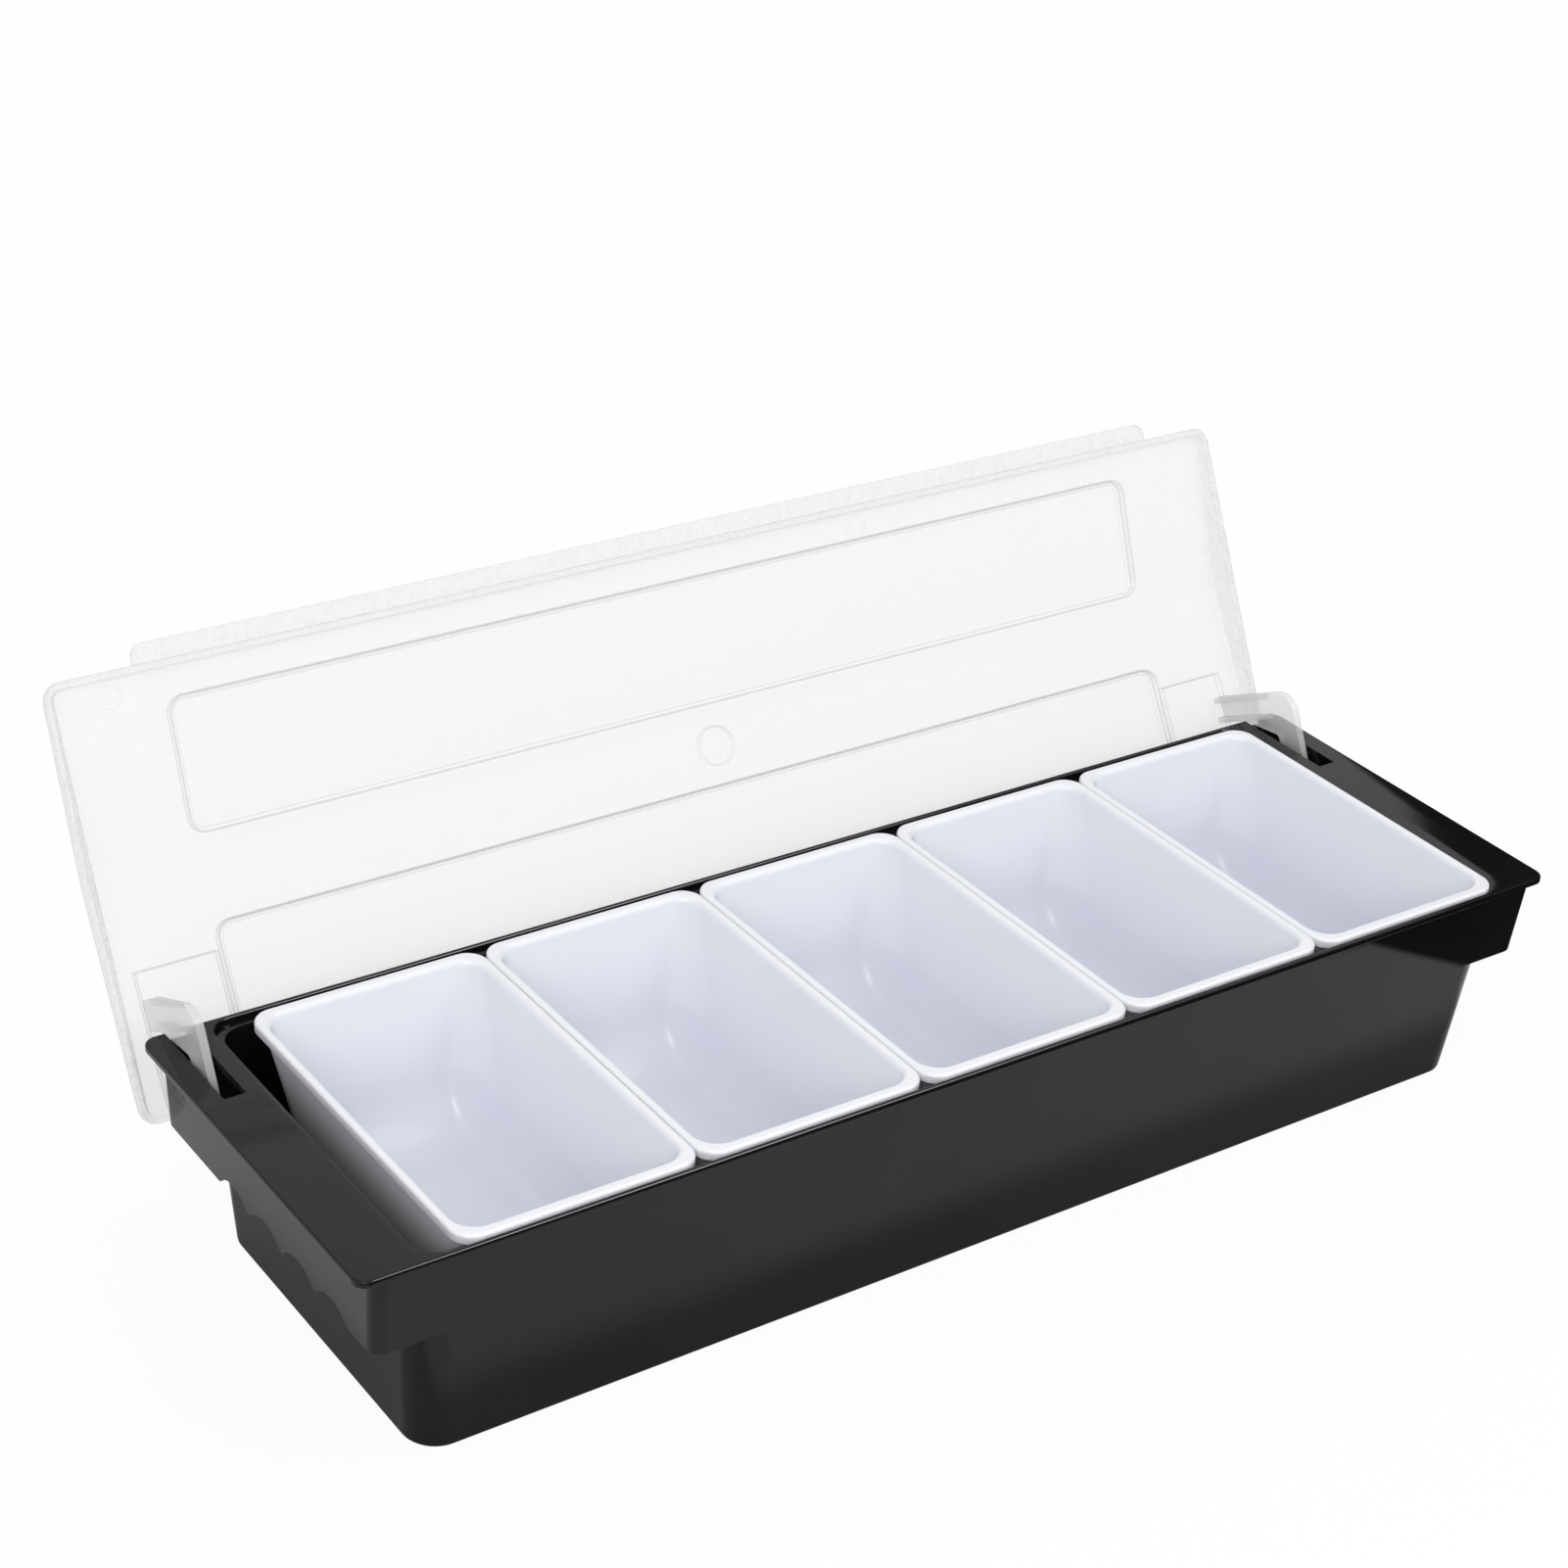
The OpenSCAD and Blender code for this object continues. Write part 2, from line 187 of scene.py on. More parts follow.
class Graph:
    """A material's node tree, built node by node."""

    def __init__(self, tree: bpy.types.NodeTree) -> None:
        """Start an empty graph in a node tree."""
        self.tree = tree
        tree.nodes.clear()

    def node(self, kind: str, settings: dict[str, Any], inputs: dict[Any, Any]) -> bpy.types.Node:
        """Add a node, set it up and connect it.

        Args:
            kind: The node's type, such as ShaderNodeBump.
            settings: The node's properties, set before its sockets.
            inputs: The value, Value or socket for each input, by name or number.

        Returns:
            The new node.
        """
        node = self.tree.nodes.new(kind)
        for name, setting in settings.items():
            setattr(node, name, setting)
        for name, given in inputs.items():
            if isinstance(given, Value):
                given = given.socket
            if isinstance(given, bpy.types.NodeSocket):
                self.tree.links.new(given, node.inputs[name])
            else:
                node.inputs[name].default_value = given
        return node

    def place(self, centre: Sequence[float] = (0.0, 0.0, 0.0),
              turn: float = 0.0) -> bpy.types.NodeSocket:
        """Return the surface point in millimetres, from a centre and turned about X.

        Args:
            centre: The point, in metres, that becomes the origin.
            turn: The angle about X, in radians, that the frame is turned back by.

        Returns:
            The vector socket of the last Mapping node.
        """
        point = self.node("ShaderNodeTexCoord", {}, {}).outputs["Object"]
        moved = self.node("ShaderNodeMapping", {"vector_type": "POINT"},
                          {"Vector": point, "Location": tuple(-c for c in centre)})
        turned = self.node("ShaderNodeMapping", {"vector_type": "POINT"},
                           {"Vector": moved.outputs[0], "Rotation": (-turn, 0.0, 0.0),
                            "Scale": (1.0 / MM, 1.0 / MM, 1.0 / MM)})
        return turned.outputs[0]

    def split(self, point: bpy.types.NodeSocket) -> tuple[Value, Value, Value]:
        """Return a vector's three numbers."""
        node = self.node("ShaderNodeSeparateXYZ", {}, {0: point})
        return tuple(Value(self, out) for out in node.outputs)

    def rays(self) -> tuple[Value, ...]:
        """Ask what kind of ray reaches the surface.

        Returns:
            Whether it comes from the camera, from gloss and through a clear piece.
        """
        path = self.node("ShaderNodeLightPath", {}, {})
        return tuple(Value(self, path.outputs[f"Is {kind} Ray"])
                     for kind in ("Camera", "Glossy", "Transmission"))

    def noise(self, point: bpy.types.NodeSocket, size: float, detail: float = 2.0) -> Value:
        """Return a noise of 0 to 1.

        Args:
            point: The vector that the noise is read at, in millimetres.
            size: The width of one blotch, in millimetres.
            detail: How many finer octaves are added.

        Returns:
            The noise's value.
        """
        node = self.node("ShaderNodeTexNoise", {},
                         {"Vector": point, "Scale": 1.0 / size, "Detail": detail})
        return Value(self, node.outputs[0])

    def blend(self, factor: Value, first: Colour, second: Colour) -> bpy.types.NodeSocket:
        """Return a colour between two colours.

        Args:
            factor: The share of the second colour.
            first: The first colour.
            second: The second colour.

        Returns:
            The colour's socket.
        """
        node = self.node("ShaderNodeMix", {"data_type": "RGBA"},
                         {0: factor, 6: (*first, 1.0), 7: (*second, 1.0)})
        return node.outputs[2]

    def bump(self, height: Value, distance: float, strength: float) -> bpy.types.NodeSocket:
        """Return the normal of a surface raised by a height of 0 to 1.

        Args:
            height: The height, as a share of the distance.
            distance: The full height, in millimetres.
            strength: How much of it shows.

        Returns:
            The normal.
        """
        node = self.node("ShaderNodeBump", {},
                         {"Strength": strength, "Distance": distance * MM, "Height": height})
        return node.outputs[0]

    def finish(self, shader: bpy.types.Node) -> None:
        """Connect a shader to the material's output."""
        self.node("ShaderNodeOutputMaterial", {}, {"Surface": shader.outputs[0]})


# -------------------------------------------------------------------- finishes


@dataclass(frozen=True)
class Finish:
    """A finish that is made into a material once.

    Its noises are pairs of a blotch's size in millimetres and the octaves in it, and its
    relief is a height in millimetres and the share of it that shows.
    """

    name: str

    def material(self) -> bpy.types.Material:
        """Make the finish's material, unless it is made already.

        Returns:
            The material.
        """
        made = bpy.data.materials.get(self.name)
        if made is None:
            made = bpy.data.materials.new(self.name)
            made.use_nodes = True
            self.paint(Graph(made.node_tree))
        return made

    def paint(self, graph: Graph) -> None:
        """Build the finish's nodes in an empty graph."""
        raise NotImplementedError


@dataclass(frozen=True)
class GlossBlack(Finish):
    """Polished black plastic, with the faint waviness of a moulding."""

    name: str = "gloss_black_plastic"
    colour: Colour = (0.004, 0.004, 0.0045)
    dull_colour: Colour = (0.006, 0.006, 0.0065)
    dull_span: Span = (0.35, 0.7)
    cloud: Span = (60.0, 3.0)
    grain: Span = (1.6, 2.0)
    wave: Span = (28.0, 1.0)
    rough: float = 0.03
    cloud_rough: float = 0.02
    grain_rough: float = 0.01
    wave_height: float = 0.8
    grain_height: float = 0.004
    relief: Span = (0.05, 0.3)
    ior: float = 1.5
    specular: float = 0.24

    def paint(self, graph: Graph) -> None:
        """Build the finish's nodes.

        Args:
            graph: The material's graph, still empty.
        """
        point = graph.place()
        cloud = graph.noise(point, *self.cloud)
        grain = graph.noise(point, *self.grain)
        wave = graph.noise(point, *self.wave)
        colour = graph.blend(cloud.ramp(*self.dull_span), self.colour, self.dull_colour)
        rough = self.rough + cloud * self.cloud_rough + grain * self.grain_rough
        height = wave * self.wave_height + grain * self.grain_height
        shader = graph.node("ShaderNodeBsdfPrincipled", {},
                            {"Base Color": colour, "Roughness": rough, "IOR": self.ior,
                             "Specular IOR Level": self.specular,
                             "Normal": graph.bump(height, *self.relief)})
        graph.finish(shader)


@dataclass(frozen=True)
class SatinWhite(Finish):
    """White plastic with a satin sheen, and painted shade that turns it darker and bluer lower in
    the bowl.
    """

    name: str = "satin_white_plastic"
    colour: Colour = (0.82, 0.83, 0.875)
    # Painted shade: a darker, bluer colour lower in the bowl, ramped by height.
    painted_shade_colour: Colour = (0.74, 0.755, 0.83)
    painted_shade_heights: Span = (70.0, 32.0)
    painted_shade_share: float = 0.9
    cloud: Span = (35.0, 3.0)
    grain: Span = (0.9, 2.0)
    cloud_share: float = 0.1
    rough: float = 0.16
    cloud_rough: float = 0.05
    grain_rough: float = 0.03
    relief: Span = (0.02, 0.25)
    ior: float = 1.49

    def paint(self, graph: Graph) -> None:
        """Build the finish's nodes.

        Args:
            graph: The material's graph, still empty.
        """
        point = graph.place()
        cloud = graph.noise(point, *self.cloud)
        grain = graph.noise(point, *self.grain)
        _, _, height = graph.split(point)
        # Painted shade, darker and bluer lower in the bowl, plus random tone from the cloud.
        depth = height.ramp(*self.painted_shade_heights) * self.painted_shade_share + cloud * self.cloud_share
        colour = graph.blend(depth, self.colour, self.painted_shade_colour)
        rough = self.rough + cloud * self.cloud_rough + grain * self.grain_rough
        shader = graph.node("ShaderNodeBsdfPrincipled", {},
                            {"Base Color": colour, "Roughness": rough, "IOR": self.ior,
                             "Normal": graph.bump(grain, *self.relief)})
        graph.finish(shader)


@dataclass(frozen=True)
class FrostedClear(Finish):
    """Clear plastic with a fine frosting, and the faint marks of its mould.

    The haze is how opaque it is, seen square on and at its edges. The mould's square
    marks lie over the arms, and each ring is a place along the cover, a place forward of
    the hinge, a radius and a strength. A line of the panels is the depth inside their
    outline, half the widths at which it is full and gone, and its strength.
    """

    name: str = "frosted_clear_plastic"
    colour: Colour = (0.78, 0.782, 0.784)
    edge_colour: Colour = (0.42, 0.422, 0.424)
    haze: float = 0.20
    edge_haze: float = 0.55
    mark: float = 0.8
    foot: float = 0.35
    foot_span: Span = (16.9, 15.9)
    foot_plain: float = 0.6
    foot_speckle: float = 0.4
    edge_power: float = 4.0
    edge_share: float = 0.9
    end_wall: float = 243.6
    end_blend: float = 2.0
    end_share: float = 0.06
    end_speckle: float = 0.1
    frost: Span = (1.0, 3.0)
    cloud: Span = (26.0, 3.0)
    speckle: Span = (2.4, 4.0)
    speckle_span: Span = (0.45, 0.62)
    rough: float = 0.12
    frost_rough: float = 0.1
    cloud_rough: float = 0.06
    frost_haze: float = 0.04
    relief: Span = (0.03, 0.3)
    ior: float = 1.5
    specular: float = 0.8
    square_half: float = 14.9
    square_middle: float = 222.6
    square_reach: float = 38.4
    square_span: Span = (0.1, 0.5)
    square_heights: Span = (19.0, 19.5)
    rings: tuple[tuple[float, float, float, float], ...] = (
        (76.7, 129.4, 4.0, 0.15), (-225.3, 128.8, 4.0, 0.15), (0.0, 62.0, 7.3, 0.5))
    ring_span: Span = (0.2, 0.6)
    panel_lines: tuple[tuple[float, float, float, float], ...] = (
        (0.1, 0.25, 0.6, 0.75), (1.6, 0.15, 0.5, 0.4))
    hinge: Hinge = Hinge()
    panels: Panels = Panels()

    def marks(self, x: Value, reach: Value, height: Value) -> Value:
        """Return the thin lines that the mould left, as a share of 0 to 1.

        Args:
            x: The place along the cover.
            reach: The place forward of the hinge axis.
            height: The height above the axis, cover shut.

        Returns:
            How much of a line there is.
        """
        panels = self.panels
        square = abs((abs(abs(x) - self.square_middle) - self.square_half).most(
            reach - self.square_reach))
        lines = square.ramp(*self.square_span, 1.0, 0.0) * height.ramp(*self.square_heights)
        for place, forward, radius, strength in self.rings:
            away = ((x - place).power(2.0) + (reach - forward).power(2.0)).power(0.5)
            lines = lines.most(abs(away - radius).ramp(*self.ring_span, strength, 0.0))
        for start, end in panels.spans:
            along = abs(x) - (panels.half_length - panels.corner)
            across = abs(reach - (start + end) / 2) - ((end - start) / 2 - panels.corner)
            away = (along.most(0.0).power(2.0) + across.most(0.0).power(2.0)).power(0.5)
            away = away + along.most(across).least(0.0) - panels.corner
            for depth, full, gone, strength in self.panel_lines:
                lines = lines.most(abs(away + depth).ramp(full, gone, strength, 0.0))
        return lines

    def paint(self, graph: Graph) -> None:
        """Build the finish's nodes.

        Args:
            graph: The material's graph, still empty.
        """
        axis = Vector((0.0, self.hinge.y, self.hinge.z)) * MM
        point = graph.place(axis, -math.radians(self.hinge.open_angle))
        x, back, height = graph.split(point)
        frost = graph.noise(point, *self.frost)
        cloud = graph.noise(point, *self.cloud)
        speckle = graph.noise(point, *self.speckle).ramp(*self.speckle_span)
        facing = graph.node("ShaderNodeLayerWeight", {}, {"Blend": 0.5})
        edge = Value(graph, facing.outputs["Facing"]).power(self.edge_power)
        ends = abs(x).ramp(self.end_wall, self.end_wall + self.end_blend)
        foot = height.ramp(*self.foot_span) * (self.foot_plain + speckle * self.foot_speckle)
        tone = (edge * self.edge_share + ends * (self.end_share + speckle * self.end_speckle)
                + foot * self.foot)
        tone = (tone + self.marks(x, -back, height) * self.mark).least(1.0)
        rough = self.rough + frost * self.frost_rough + cloud * self.cloud_rough
        opaque = tone * (self.edge_haze - self.haze) + frost * self.frost_haze + self.haze
        shader = graph.node("ShaderNodeBsdfPrincipled", {},
                            {"Base Color": graph.blend(tone, self.colour, self.edge_colour),
                             "Roughness": rough, "Alpha": opaque, "IOR": self.ior,
                             "Specular IOR Level": self.specular,
                             "Normal": graph.bump(frost, *self.relief)})
        graph.finish(shader)


@dataclass(frozen=True)
class StudioFloor(Finish):
    """The pale floor: white to the camera, and it keeps the shadow.

    Gloss sees a painted dark reflection in front, another past a corner, and a half-dark
    painted shadow under the housing. Each is a pair of places, in metres, between which it
    darkens.
    """

    name: str = "studio_floor"
    colour: Colour = (0.92, 0.92, 0.92)
    # Colour of the painted dark reflections and painted shadow, seen only by glossy rays.
    painted_reflection_colour: Colour = (0.02, 0.02, 0.02)
    glow: float = 0.93
    gloss_glow: float = 0.1
    front_slope: float = 0.1
    front_painted_reflection: Span = (0.159, 0.165)
    corner_painted_reflection: Span = (0.377, 0.385)
    painted_shadow_length: Span = (0.275, 0.255)
    painted_shadow_width: Span = (0.1, 0.08)
    # Share of the painted shadow under the housing, seen only in reflections.
    under: float = 0.5

    def paint(self, graph: Graph) -> None:
        """Build the finish's nodes.

        Args:
            graph: The material's graph, still empty.
        """
        point = graph.node("ShaderNodeTexCoord", {}, {}).outputs["Object"]
        x, y, _ = graph.split(point)
        # Painted dark reflections in front and past a corner, seen only by glossy rays.
        front = (x * self.front_slope - y).ramp(*self.front_painted_reflection)
        painted_reflection_and_shadow = front.most((x - y).ramp(*self.corner_painted_reflection))
        # A half-dark painted shadow under the housing, seen only in reflections.
        under = abs(x).ramp(*self.painted_shadow_length) * abs(y).ramp(*self.painted_shadow_width)
        painted_reflection_and_shadow = painted_reflection_and_shadow.most(under * self.under)
        camera, glossy, through = graph.rays()
        # The shader for the painted dark reflection and shadow, mixed in for glossy rays only.
        flag = graph.node("ShaderNodeBsdfDiffuse", {}, {"Color": (*self.painted_reflection_colour, 1.0)})
        matt = graph.node("ShaderNodeBsdfDiffuse", {}, {"Color": (*self.colour, 1.0)})
        glow = graph.node("ShaderNodeEmission", {}, {"Color": WHITE, "Strength": 1.0})
        pale = graph.node("ShaderNodeMixShader", {},
                          {0: camera.most(through) * self.glow + glossy * self.gloss_glow,
                           1: matt.outputs[0], 2: glow.outputs[0]})
        graph.finish(graph.node("ShaderNodeMixShader", {},
                                {0: glossy * painted_reflection_and_shadow,
                                 1: pale.outputs[0], 2: flag.outputs[0]}))


# ---------------------------------------------------------------------- meshes


@dataclass(frozen=True)
class Outline:
    """A level rounded rectangle, in millimetres.

    Its corners may be elliptical: corner is then their length and corner_width their width.
    """

    half_length: float
    half_width: float
    corner: float
    height: float
    corner_width: float = 0.0

    def inset(self, amount: float, height: float) -> "Outline":
        """Return this outline drawn in, at another height.

        Args:
            amount: How far its sides move in. A negative amount moves them out.
            height: The new outline's height.

        Returns:
            The new outline.
        """
        return Outline(self.half_length - amount, self.half_width - amount,
                       max(self.corner - amount, LEAST_CORNER), height,
                       self.corner_width and max(self.corner_width - amount, LEAST_CORNER))

    def point(self, quarter: Vector, share: Vector) -> Vector:
        """Return a point of the outline.

        Args:
            quarter: The signs of X and Y in the corner that the point belongs to.
            share: How far round the corner the point is: its cosine and sine.

        Returns:
            The point, from the outline's centre.
        """
        corner_width = self.corner_width or self.corner
        return Vector((quarter.x * (self.half_length - self.corner * (1.0 - share.x)),
                       quarter.y * (self.half_width - corner_width * (1.0 - share.y)),
                       self.height))


def verts_of(made: Iterable[Any]) -> list[BMVert]:
    """Return the vertices among what an operator made."""
    return [item for item in made if isinstance(item, BMVert)]


def round_corners(mesh: BMesh, corners: Sequence[BMVert], radius: float,
                  segments: int) -> list[BMVert]:
    """Round some corners of a flat face.

    Args:
        mesh: The mesh that the face is in.
        corners: The corners.
        radius: How far along its edges each corner is cut back.
        segments: The number of edges round each corner.

    Returns:
        The new vertices.
    """
    return bmesh.ops.bevel(mesh, geom=corners, offset=radius, offset_type="OFFSET",
                           segments=segments, profile=0.5, affect="VERTICES", material=-1,
                           clamp_overlap=False)["verts"]


def thicken(mesh: BMesh, faces: Sequence[BMFace], way: Sequence[float],
            keep: bool = True) -> list[Any]:
    """Grow some faces into a solid.

    Args:
        mesh: The mesh that the faces are in.
        faces: The faces.
        way: How far they are moved.
        keep: Whether the faces also stay where they were.

    Returns:
        The moved vertices, edges and faces.
    """
    grown = bmesh.ops.extrude_face_region(mesh, geom=faces, use_keep_orig=keep)["geom"]
    bmesh.ops.translate(mesh, vec=way, verts=verts_of(grown))
    return grown


class Wall:
    """A smooth wall that grows from one rounded rectangle to the next."""

    def __init__(self, mesh: BMesh, first: Outline, centre: tuple[float, float] = (0.0, 0.0),
                 segments: int = 8, closed: bool = True) -> None:
        """Make the first loop.

        Args:
            mesh: The mesh that the wall is part of.
            first: The outline that it starts from.
            centre: The place of every outline's centre.
            segments: The number of edges round each corner.
            closed: Whether a face closes the first loop.
        """
        self.mesh = mesh
        self.centre = Vector((*centre, 0.0))
        # Corners of radius 1 on a square of half side 2 give each point's share.
        corners = [mesh.verts.new((x, y, 0.0)) for x, y in ((2, 2), (-2, 2), (-2, -2), (2, -2))]
        mesh.faces.new(corners)
        face = round_corners(mesh, corners, 1.0, segments)[0].link_faces[0]
        self.loop: list[BMVert] = list(face.verts)
        self.shares = [(Vector((math.copysign(1, v.co.x), math.copysign(1, v.co.y))),
                        Vector((abs(v.co.x) - 1.0, abs(v.co.y) - 1.0))) for v in self.loop]
        if not closed:
            bmesh.ops.delete(mesh, geom=[face], context="FACES_ONLY")
        self._settle(first)

    def _settle(self, outline: Outline) -> None:
        """Move the current loop onto an outline."""
        for vertex, (quarter, share) in zip(self.loop, self.shares):
            vertex.co = self.centre + outline.point(quarter, share)

    def edges(self) -> list[BMEdge]:
        """Return the current loop's edges."""
        after = [*self.loop[1:], self.loop[0]]
        return [self.mesh.edges.get(pair) for pair in zip(self.loop, after)]

    def to(self, *outlines: Outline) -> "Wall":
        """Grow the wall through some outlines.

        Args:
            *outlines: The outlines, in order.

        Returns:
            The wall itself.
        """
        for outline in outlines:
            grown = bmesh.ops.extrude_edge_only(self.mesh, edges=self.edges())["geom"]
            fresh = set(verts_of(grown))
            self.loop = [next(edge.other_vert(vertex) for edge in vertex.link_edges
                              if edge.other_vert(vertex) in fresh) for vertex in self.loop]
            self._settle(outline)
        return self

    def close(self) -> "Wall":
        """Close the current loop with a face."""
        bmesh.ops.contextual_create(self.mesh, geom=self.edges())
        return self


def rounding(outer: Outline, radius: float, level: float, rise: bool, steps: int = 3,
             depth: float = 0.0) -> list[Outline]:
    """Return outlines that turn an upright wall into a level edge, or the other way.

    Args:
        outer: The outline at the upright side of the rounding.
        radius: The radius of the rounding. A negative one turns outwards.
        level: The height of the level side.
        rise: Whether the outlines run from the upright side to the level one.
        steps: The number of steps.
        depth: The height of the rounding, where it is not its radius.

    Returns:
        The outlines, with both ends.
    """
    depth = math.copysign(depth or radius, level - outer.height)
    rings = []
    for step in range(steps + 1):
        angle = 0.5 * math.pi * step / steps
        rings.append(outer.inset(radius * (1.0 - math.cos(angle)),
                                 level - depth * (1.0 - math.sin(angle))))
    return rings if rise else rings[::-1]


def cut(mesh: BMesh, faces: Iterable[BMFace], point: Sequence[float], normal: Sequence[float],
        clear: bool = False) -> None:
    """Cut some faces with a plane.

    Args:
        mesh: The mesh that the faces are in.
        faces: The faces to cut.
        point: A point on the plane.
        normal: The plane's normal.
        clear: Whether what lies on the normal's side is removed.
    """
    faces = [f for f in faces if f.is_valid]
    edges = dict.fromkeys(e for f in faces for e in f.edges)
    verts = dict.fromkeys(v for f in faces for v in f.verts)
    bmesh.ops.bisect_plane(mesh, geom=[*faces, *edges, *verts], dist=NEAR / 100,
                           plane_co=point, plane_no=normal, clear_outer=clear)


def close_holes(mesh: BMesh) -> None:
    """Close every hole in a mesh with a face."""
    bmesh.ops.holes_fill(mesh, edges=[e for e in mesh.edges if e.is_boundary], sides=0)


def add_object(name: str, data: bpy.types.ID) -> bpy.types.Object:
    """Add an object to the scene.

    Args:
        name: The object's name.
        data: Its mesh, lamp or camera.

    Returns:
        The object.
    """
    added = bpy.data.objects.new(name, data)
    bpy.context.scene.collection.objects.link(added)
    return added


def finish_piece(mesh: BMesh, name: str, body: Body, slot: Slot, finish: Finish,
                 nodes: Sequence[str] = (), sharp: float = 32.0) -> bpy.types.Object:
    """Turn a mesh in millimetres into a finished piece.

    Args:
        mesh: The mesh, which is used up.
        name: The piece's name.
        body: The body that it rides on.
        slot: The record's slot that it would take its finish from; not used.
        finish: The finish.
        nodes: The solids that it stands for.
        sharp: The angle, in degrees, from which an edge stays sharp.

    Returns:
        The piece.
    """
    bmesh.ops.recalc_face_normals(mesh, faces=mesh.faces)
    bmesh.ops.scale(mesh, vec=(MM, MM, MM), verts=mesh.verts)
    data = bpy.data.meshes.new(name)
    mesh.to_mesh(data)
    mesh.free()
    data.polygons.foreach_set("use_smooth", [True] * len(data.polygons))
    data.set_sharp_from_angle(angle=math.radians(sharp))
    data.materials.append(finish.material())
    piece = add_object(name, data)
    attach(piece, body.value)
    if nodes:
        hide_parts(*nodes)
    return piece


@dataclass
class Assembly:
    """A sub-assembly, and the pieces that it has made.

    Its flatness, from 1 to 100, is how strongly its large faces set the shading.
    """

    pieces: list[bpy.types.Object] = field(default_factory=list, kw_only=True)
    flatness: int = field(default=60, kw_only=True)

    def build(self) -> None:
        """Make the pieces."""
        raise NotImplementedError

    def dress(self) -> None:
        """Keep large flat faces flat beside their rounded edges."""
        for piece in self.pieces:
            weighted = piece.modifiers.new("even_shading", "WEIGHTED_NORMAL")
            weighted.keep_sharp = True
            weighted.weight = self.flatness


# --------------------------------------------------------------------- housing


@dataclass
class Housing(Assembly):
    """The black housing: rim, recess, well, end skirts and bearing lugs.

    Lengths are in millimetres and angles in degrees, here and in the other sub-assemblies.
    """

    height: float = 80.0
    rim_half_length: float = 247.5
    rim_half_width: float = 75.0
    rim_corner: float = 5.0
    rim_thickness: float = 2.6
    rim_round: float = 0.8
    rim_under_round: float = 0.4
    corner_segments: int = 10
    recess_half_length: float = 225.0
    recess_half_width: float = 73.0
    recess_corner: float = 8.5
    recess_floor: float = 77.6
    mouth_half_length: float = 223.0
    mouth_half_width: float = 70.0
    mouth_corner: float = 9.0
    ledge_bottom: float = 75.2
    ledge_round: float = 0.4
    ledge_round_middle: float = 0.12
    well_half_length: float = 228.6
    well_half_width: float = 74.0
    well_corner: float = 12.0
    wall: float = 2.5
    floor: float = 2.5
    draft: float = 4.5
    foot_round: float = 1.4
    inner_foot_round: float = 2.0
    skirt_half_length: float = 242.0
    skirt_corner: float = 5.0
    skirt_bottom: float = 48.4
    skirt_draft: float = 2.0
    skirt_round: float = 0.5
    skirt_segments: int = 6
    skirt_round_middle: Span = (0.15, 0.13)
    scallop_places: tuple[float, ...] = (21.95, -0.35, -22.65, -44.95)
    scallop_radius: float = 13.0
    scallop_depth: float = 4.5
    scallop_cuts: tuple[float, ...] = (0.2, 0.4, 0.6, 0.78, 0.92, 1.0)
    slot_inner: float = 231.2
    slot_outer: float = 239.0
    slot_front: float = 30.8
    notch_margin: float = 0.1
    lug_half: float = 6.5
    bore_radius: float = 2.6
    hinge: Hinge = Hinge()

    @property
    def rim_bottom(self) -> float:
        """The height of the rim's underside."""
        return self.height - self.rim_thickness

    def well(self, height: float, inset: float = 0.0) -> Outline:
        """Return the well's outline at a height.

        Args:
            height: The height.
            inset: The wall's thickness for the inside, or nothing for the outside.

        Returns:
            The outline.
        """
        top = self.rim_bottom if inset == 0.0 else self.ledge_bottom
        slope = (top - height) * math.tan(math.radians(self.draft))
        return Outline(self.well_half_length - inset - slope, self.well_half_width - inset - slope,
                       self.well_corner - inset, height)

    def tray(self) -> BMesh:
        """Make the rim, the recess and the well.

        Returns:
            Their mesh.
        """
        mesh = bmesh.new()
        foot = rounding(self.well(self.foot_round), self.foot_round, 0.0, rise=False)
        shoulder = self.height - self.rim_round
        rim = Outline(self.rim_half_length, self.rim_half_width, self.rim_corner, shoulder)
        under = rim.inset(0.0, self.rim_bottom + self.rim_under_round)
        recess = Outline(self.recess_half_length, self.recess_half_width, self.recess_corner,
                         shoulder)
        mouth = Outline(self.mouth_half_length, self.mouth_half_width, self.mouth_corner,
                        self.recess_floor - self.ledge_round)
        inner_foot = self.well(self.floor + self.inner_foot_round, self.wall)
        middle = self.ledge_round_middle
        wall = Wall(mesh, foot[0], segments=self.corner_segments)
        wall.to(*foot[1:], self.well(self.rim_bottom))
        wall.to(*rounding(under, self.rim_under_round, self.rim_bottom, rise=False, steps=2))
        wall.to(*rounding(rim, self.rim_round, self.height, rise=True))
        wall.to(*rounding(recess, -self.rim_round, self.height, rise=False))
        wall.to(recess.inset(0.0, self.recess_floor))
        wall.to(mouth.inset(-self.ledge_round, self.recess_floor),
                mouth.inset(-middle, self.recess_floor - middle),
                mouth, mouth.inset(0.0, self.ledge_bottom))
        wall.to(self.well(self.ledge_bottom, self.wall))
        wall.to(*rounding(inner_foot, self.inner_foot_round, self.floor, rise=True)).close()
        self.notch(mesh)
        return mesh

    def notch(self, mesh: BMesh) -> None:
        """Cut the slots for the cover's arms out of the rim.

        Args:
            mesh: The tray's mesh.
        """
        low = self.rim_bottom - NEAR
        past_length = self.recess_half_length + self.rim_round + self.notch_margin
        past_width = self.recess_half_width + self.rim_round + self.notch_margin

        def rim_faces() -> list[BMFace]:
            """Find the faces of the rim's plate.

            Returns:
                The faces.
            """
            return [f for f in mesh.faces if all(v.co.z > low for v in f.verts)
                    and not all(abs(v.co.x) < past_length and abs(v.co.y) < past_width
                                for v in f.verts)]

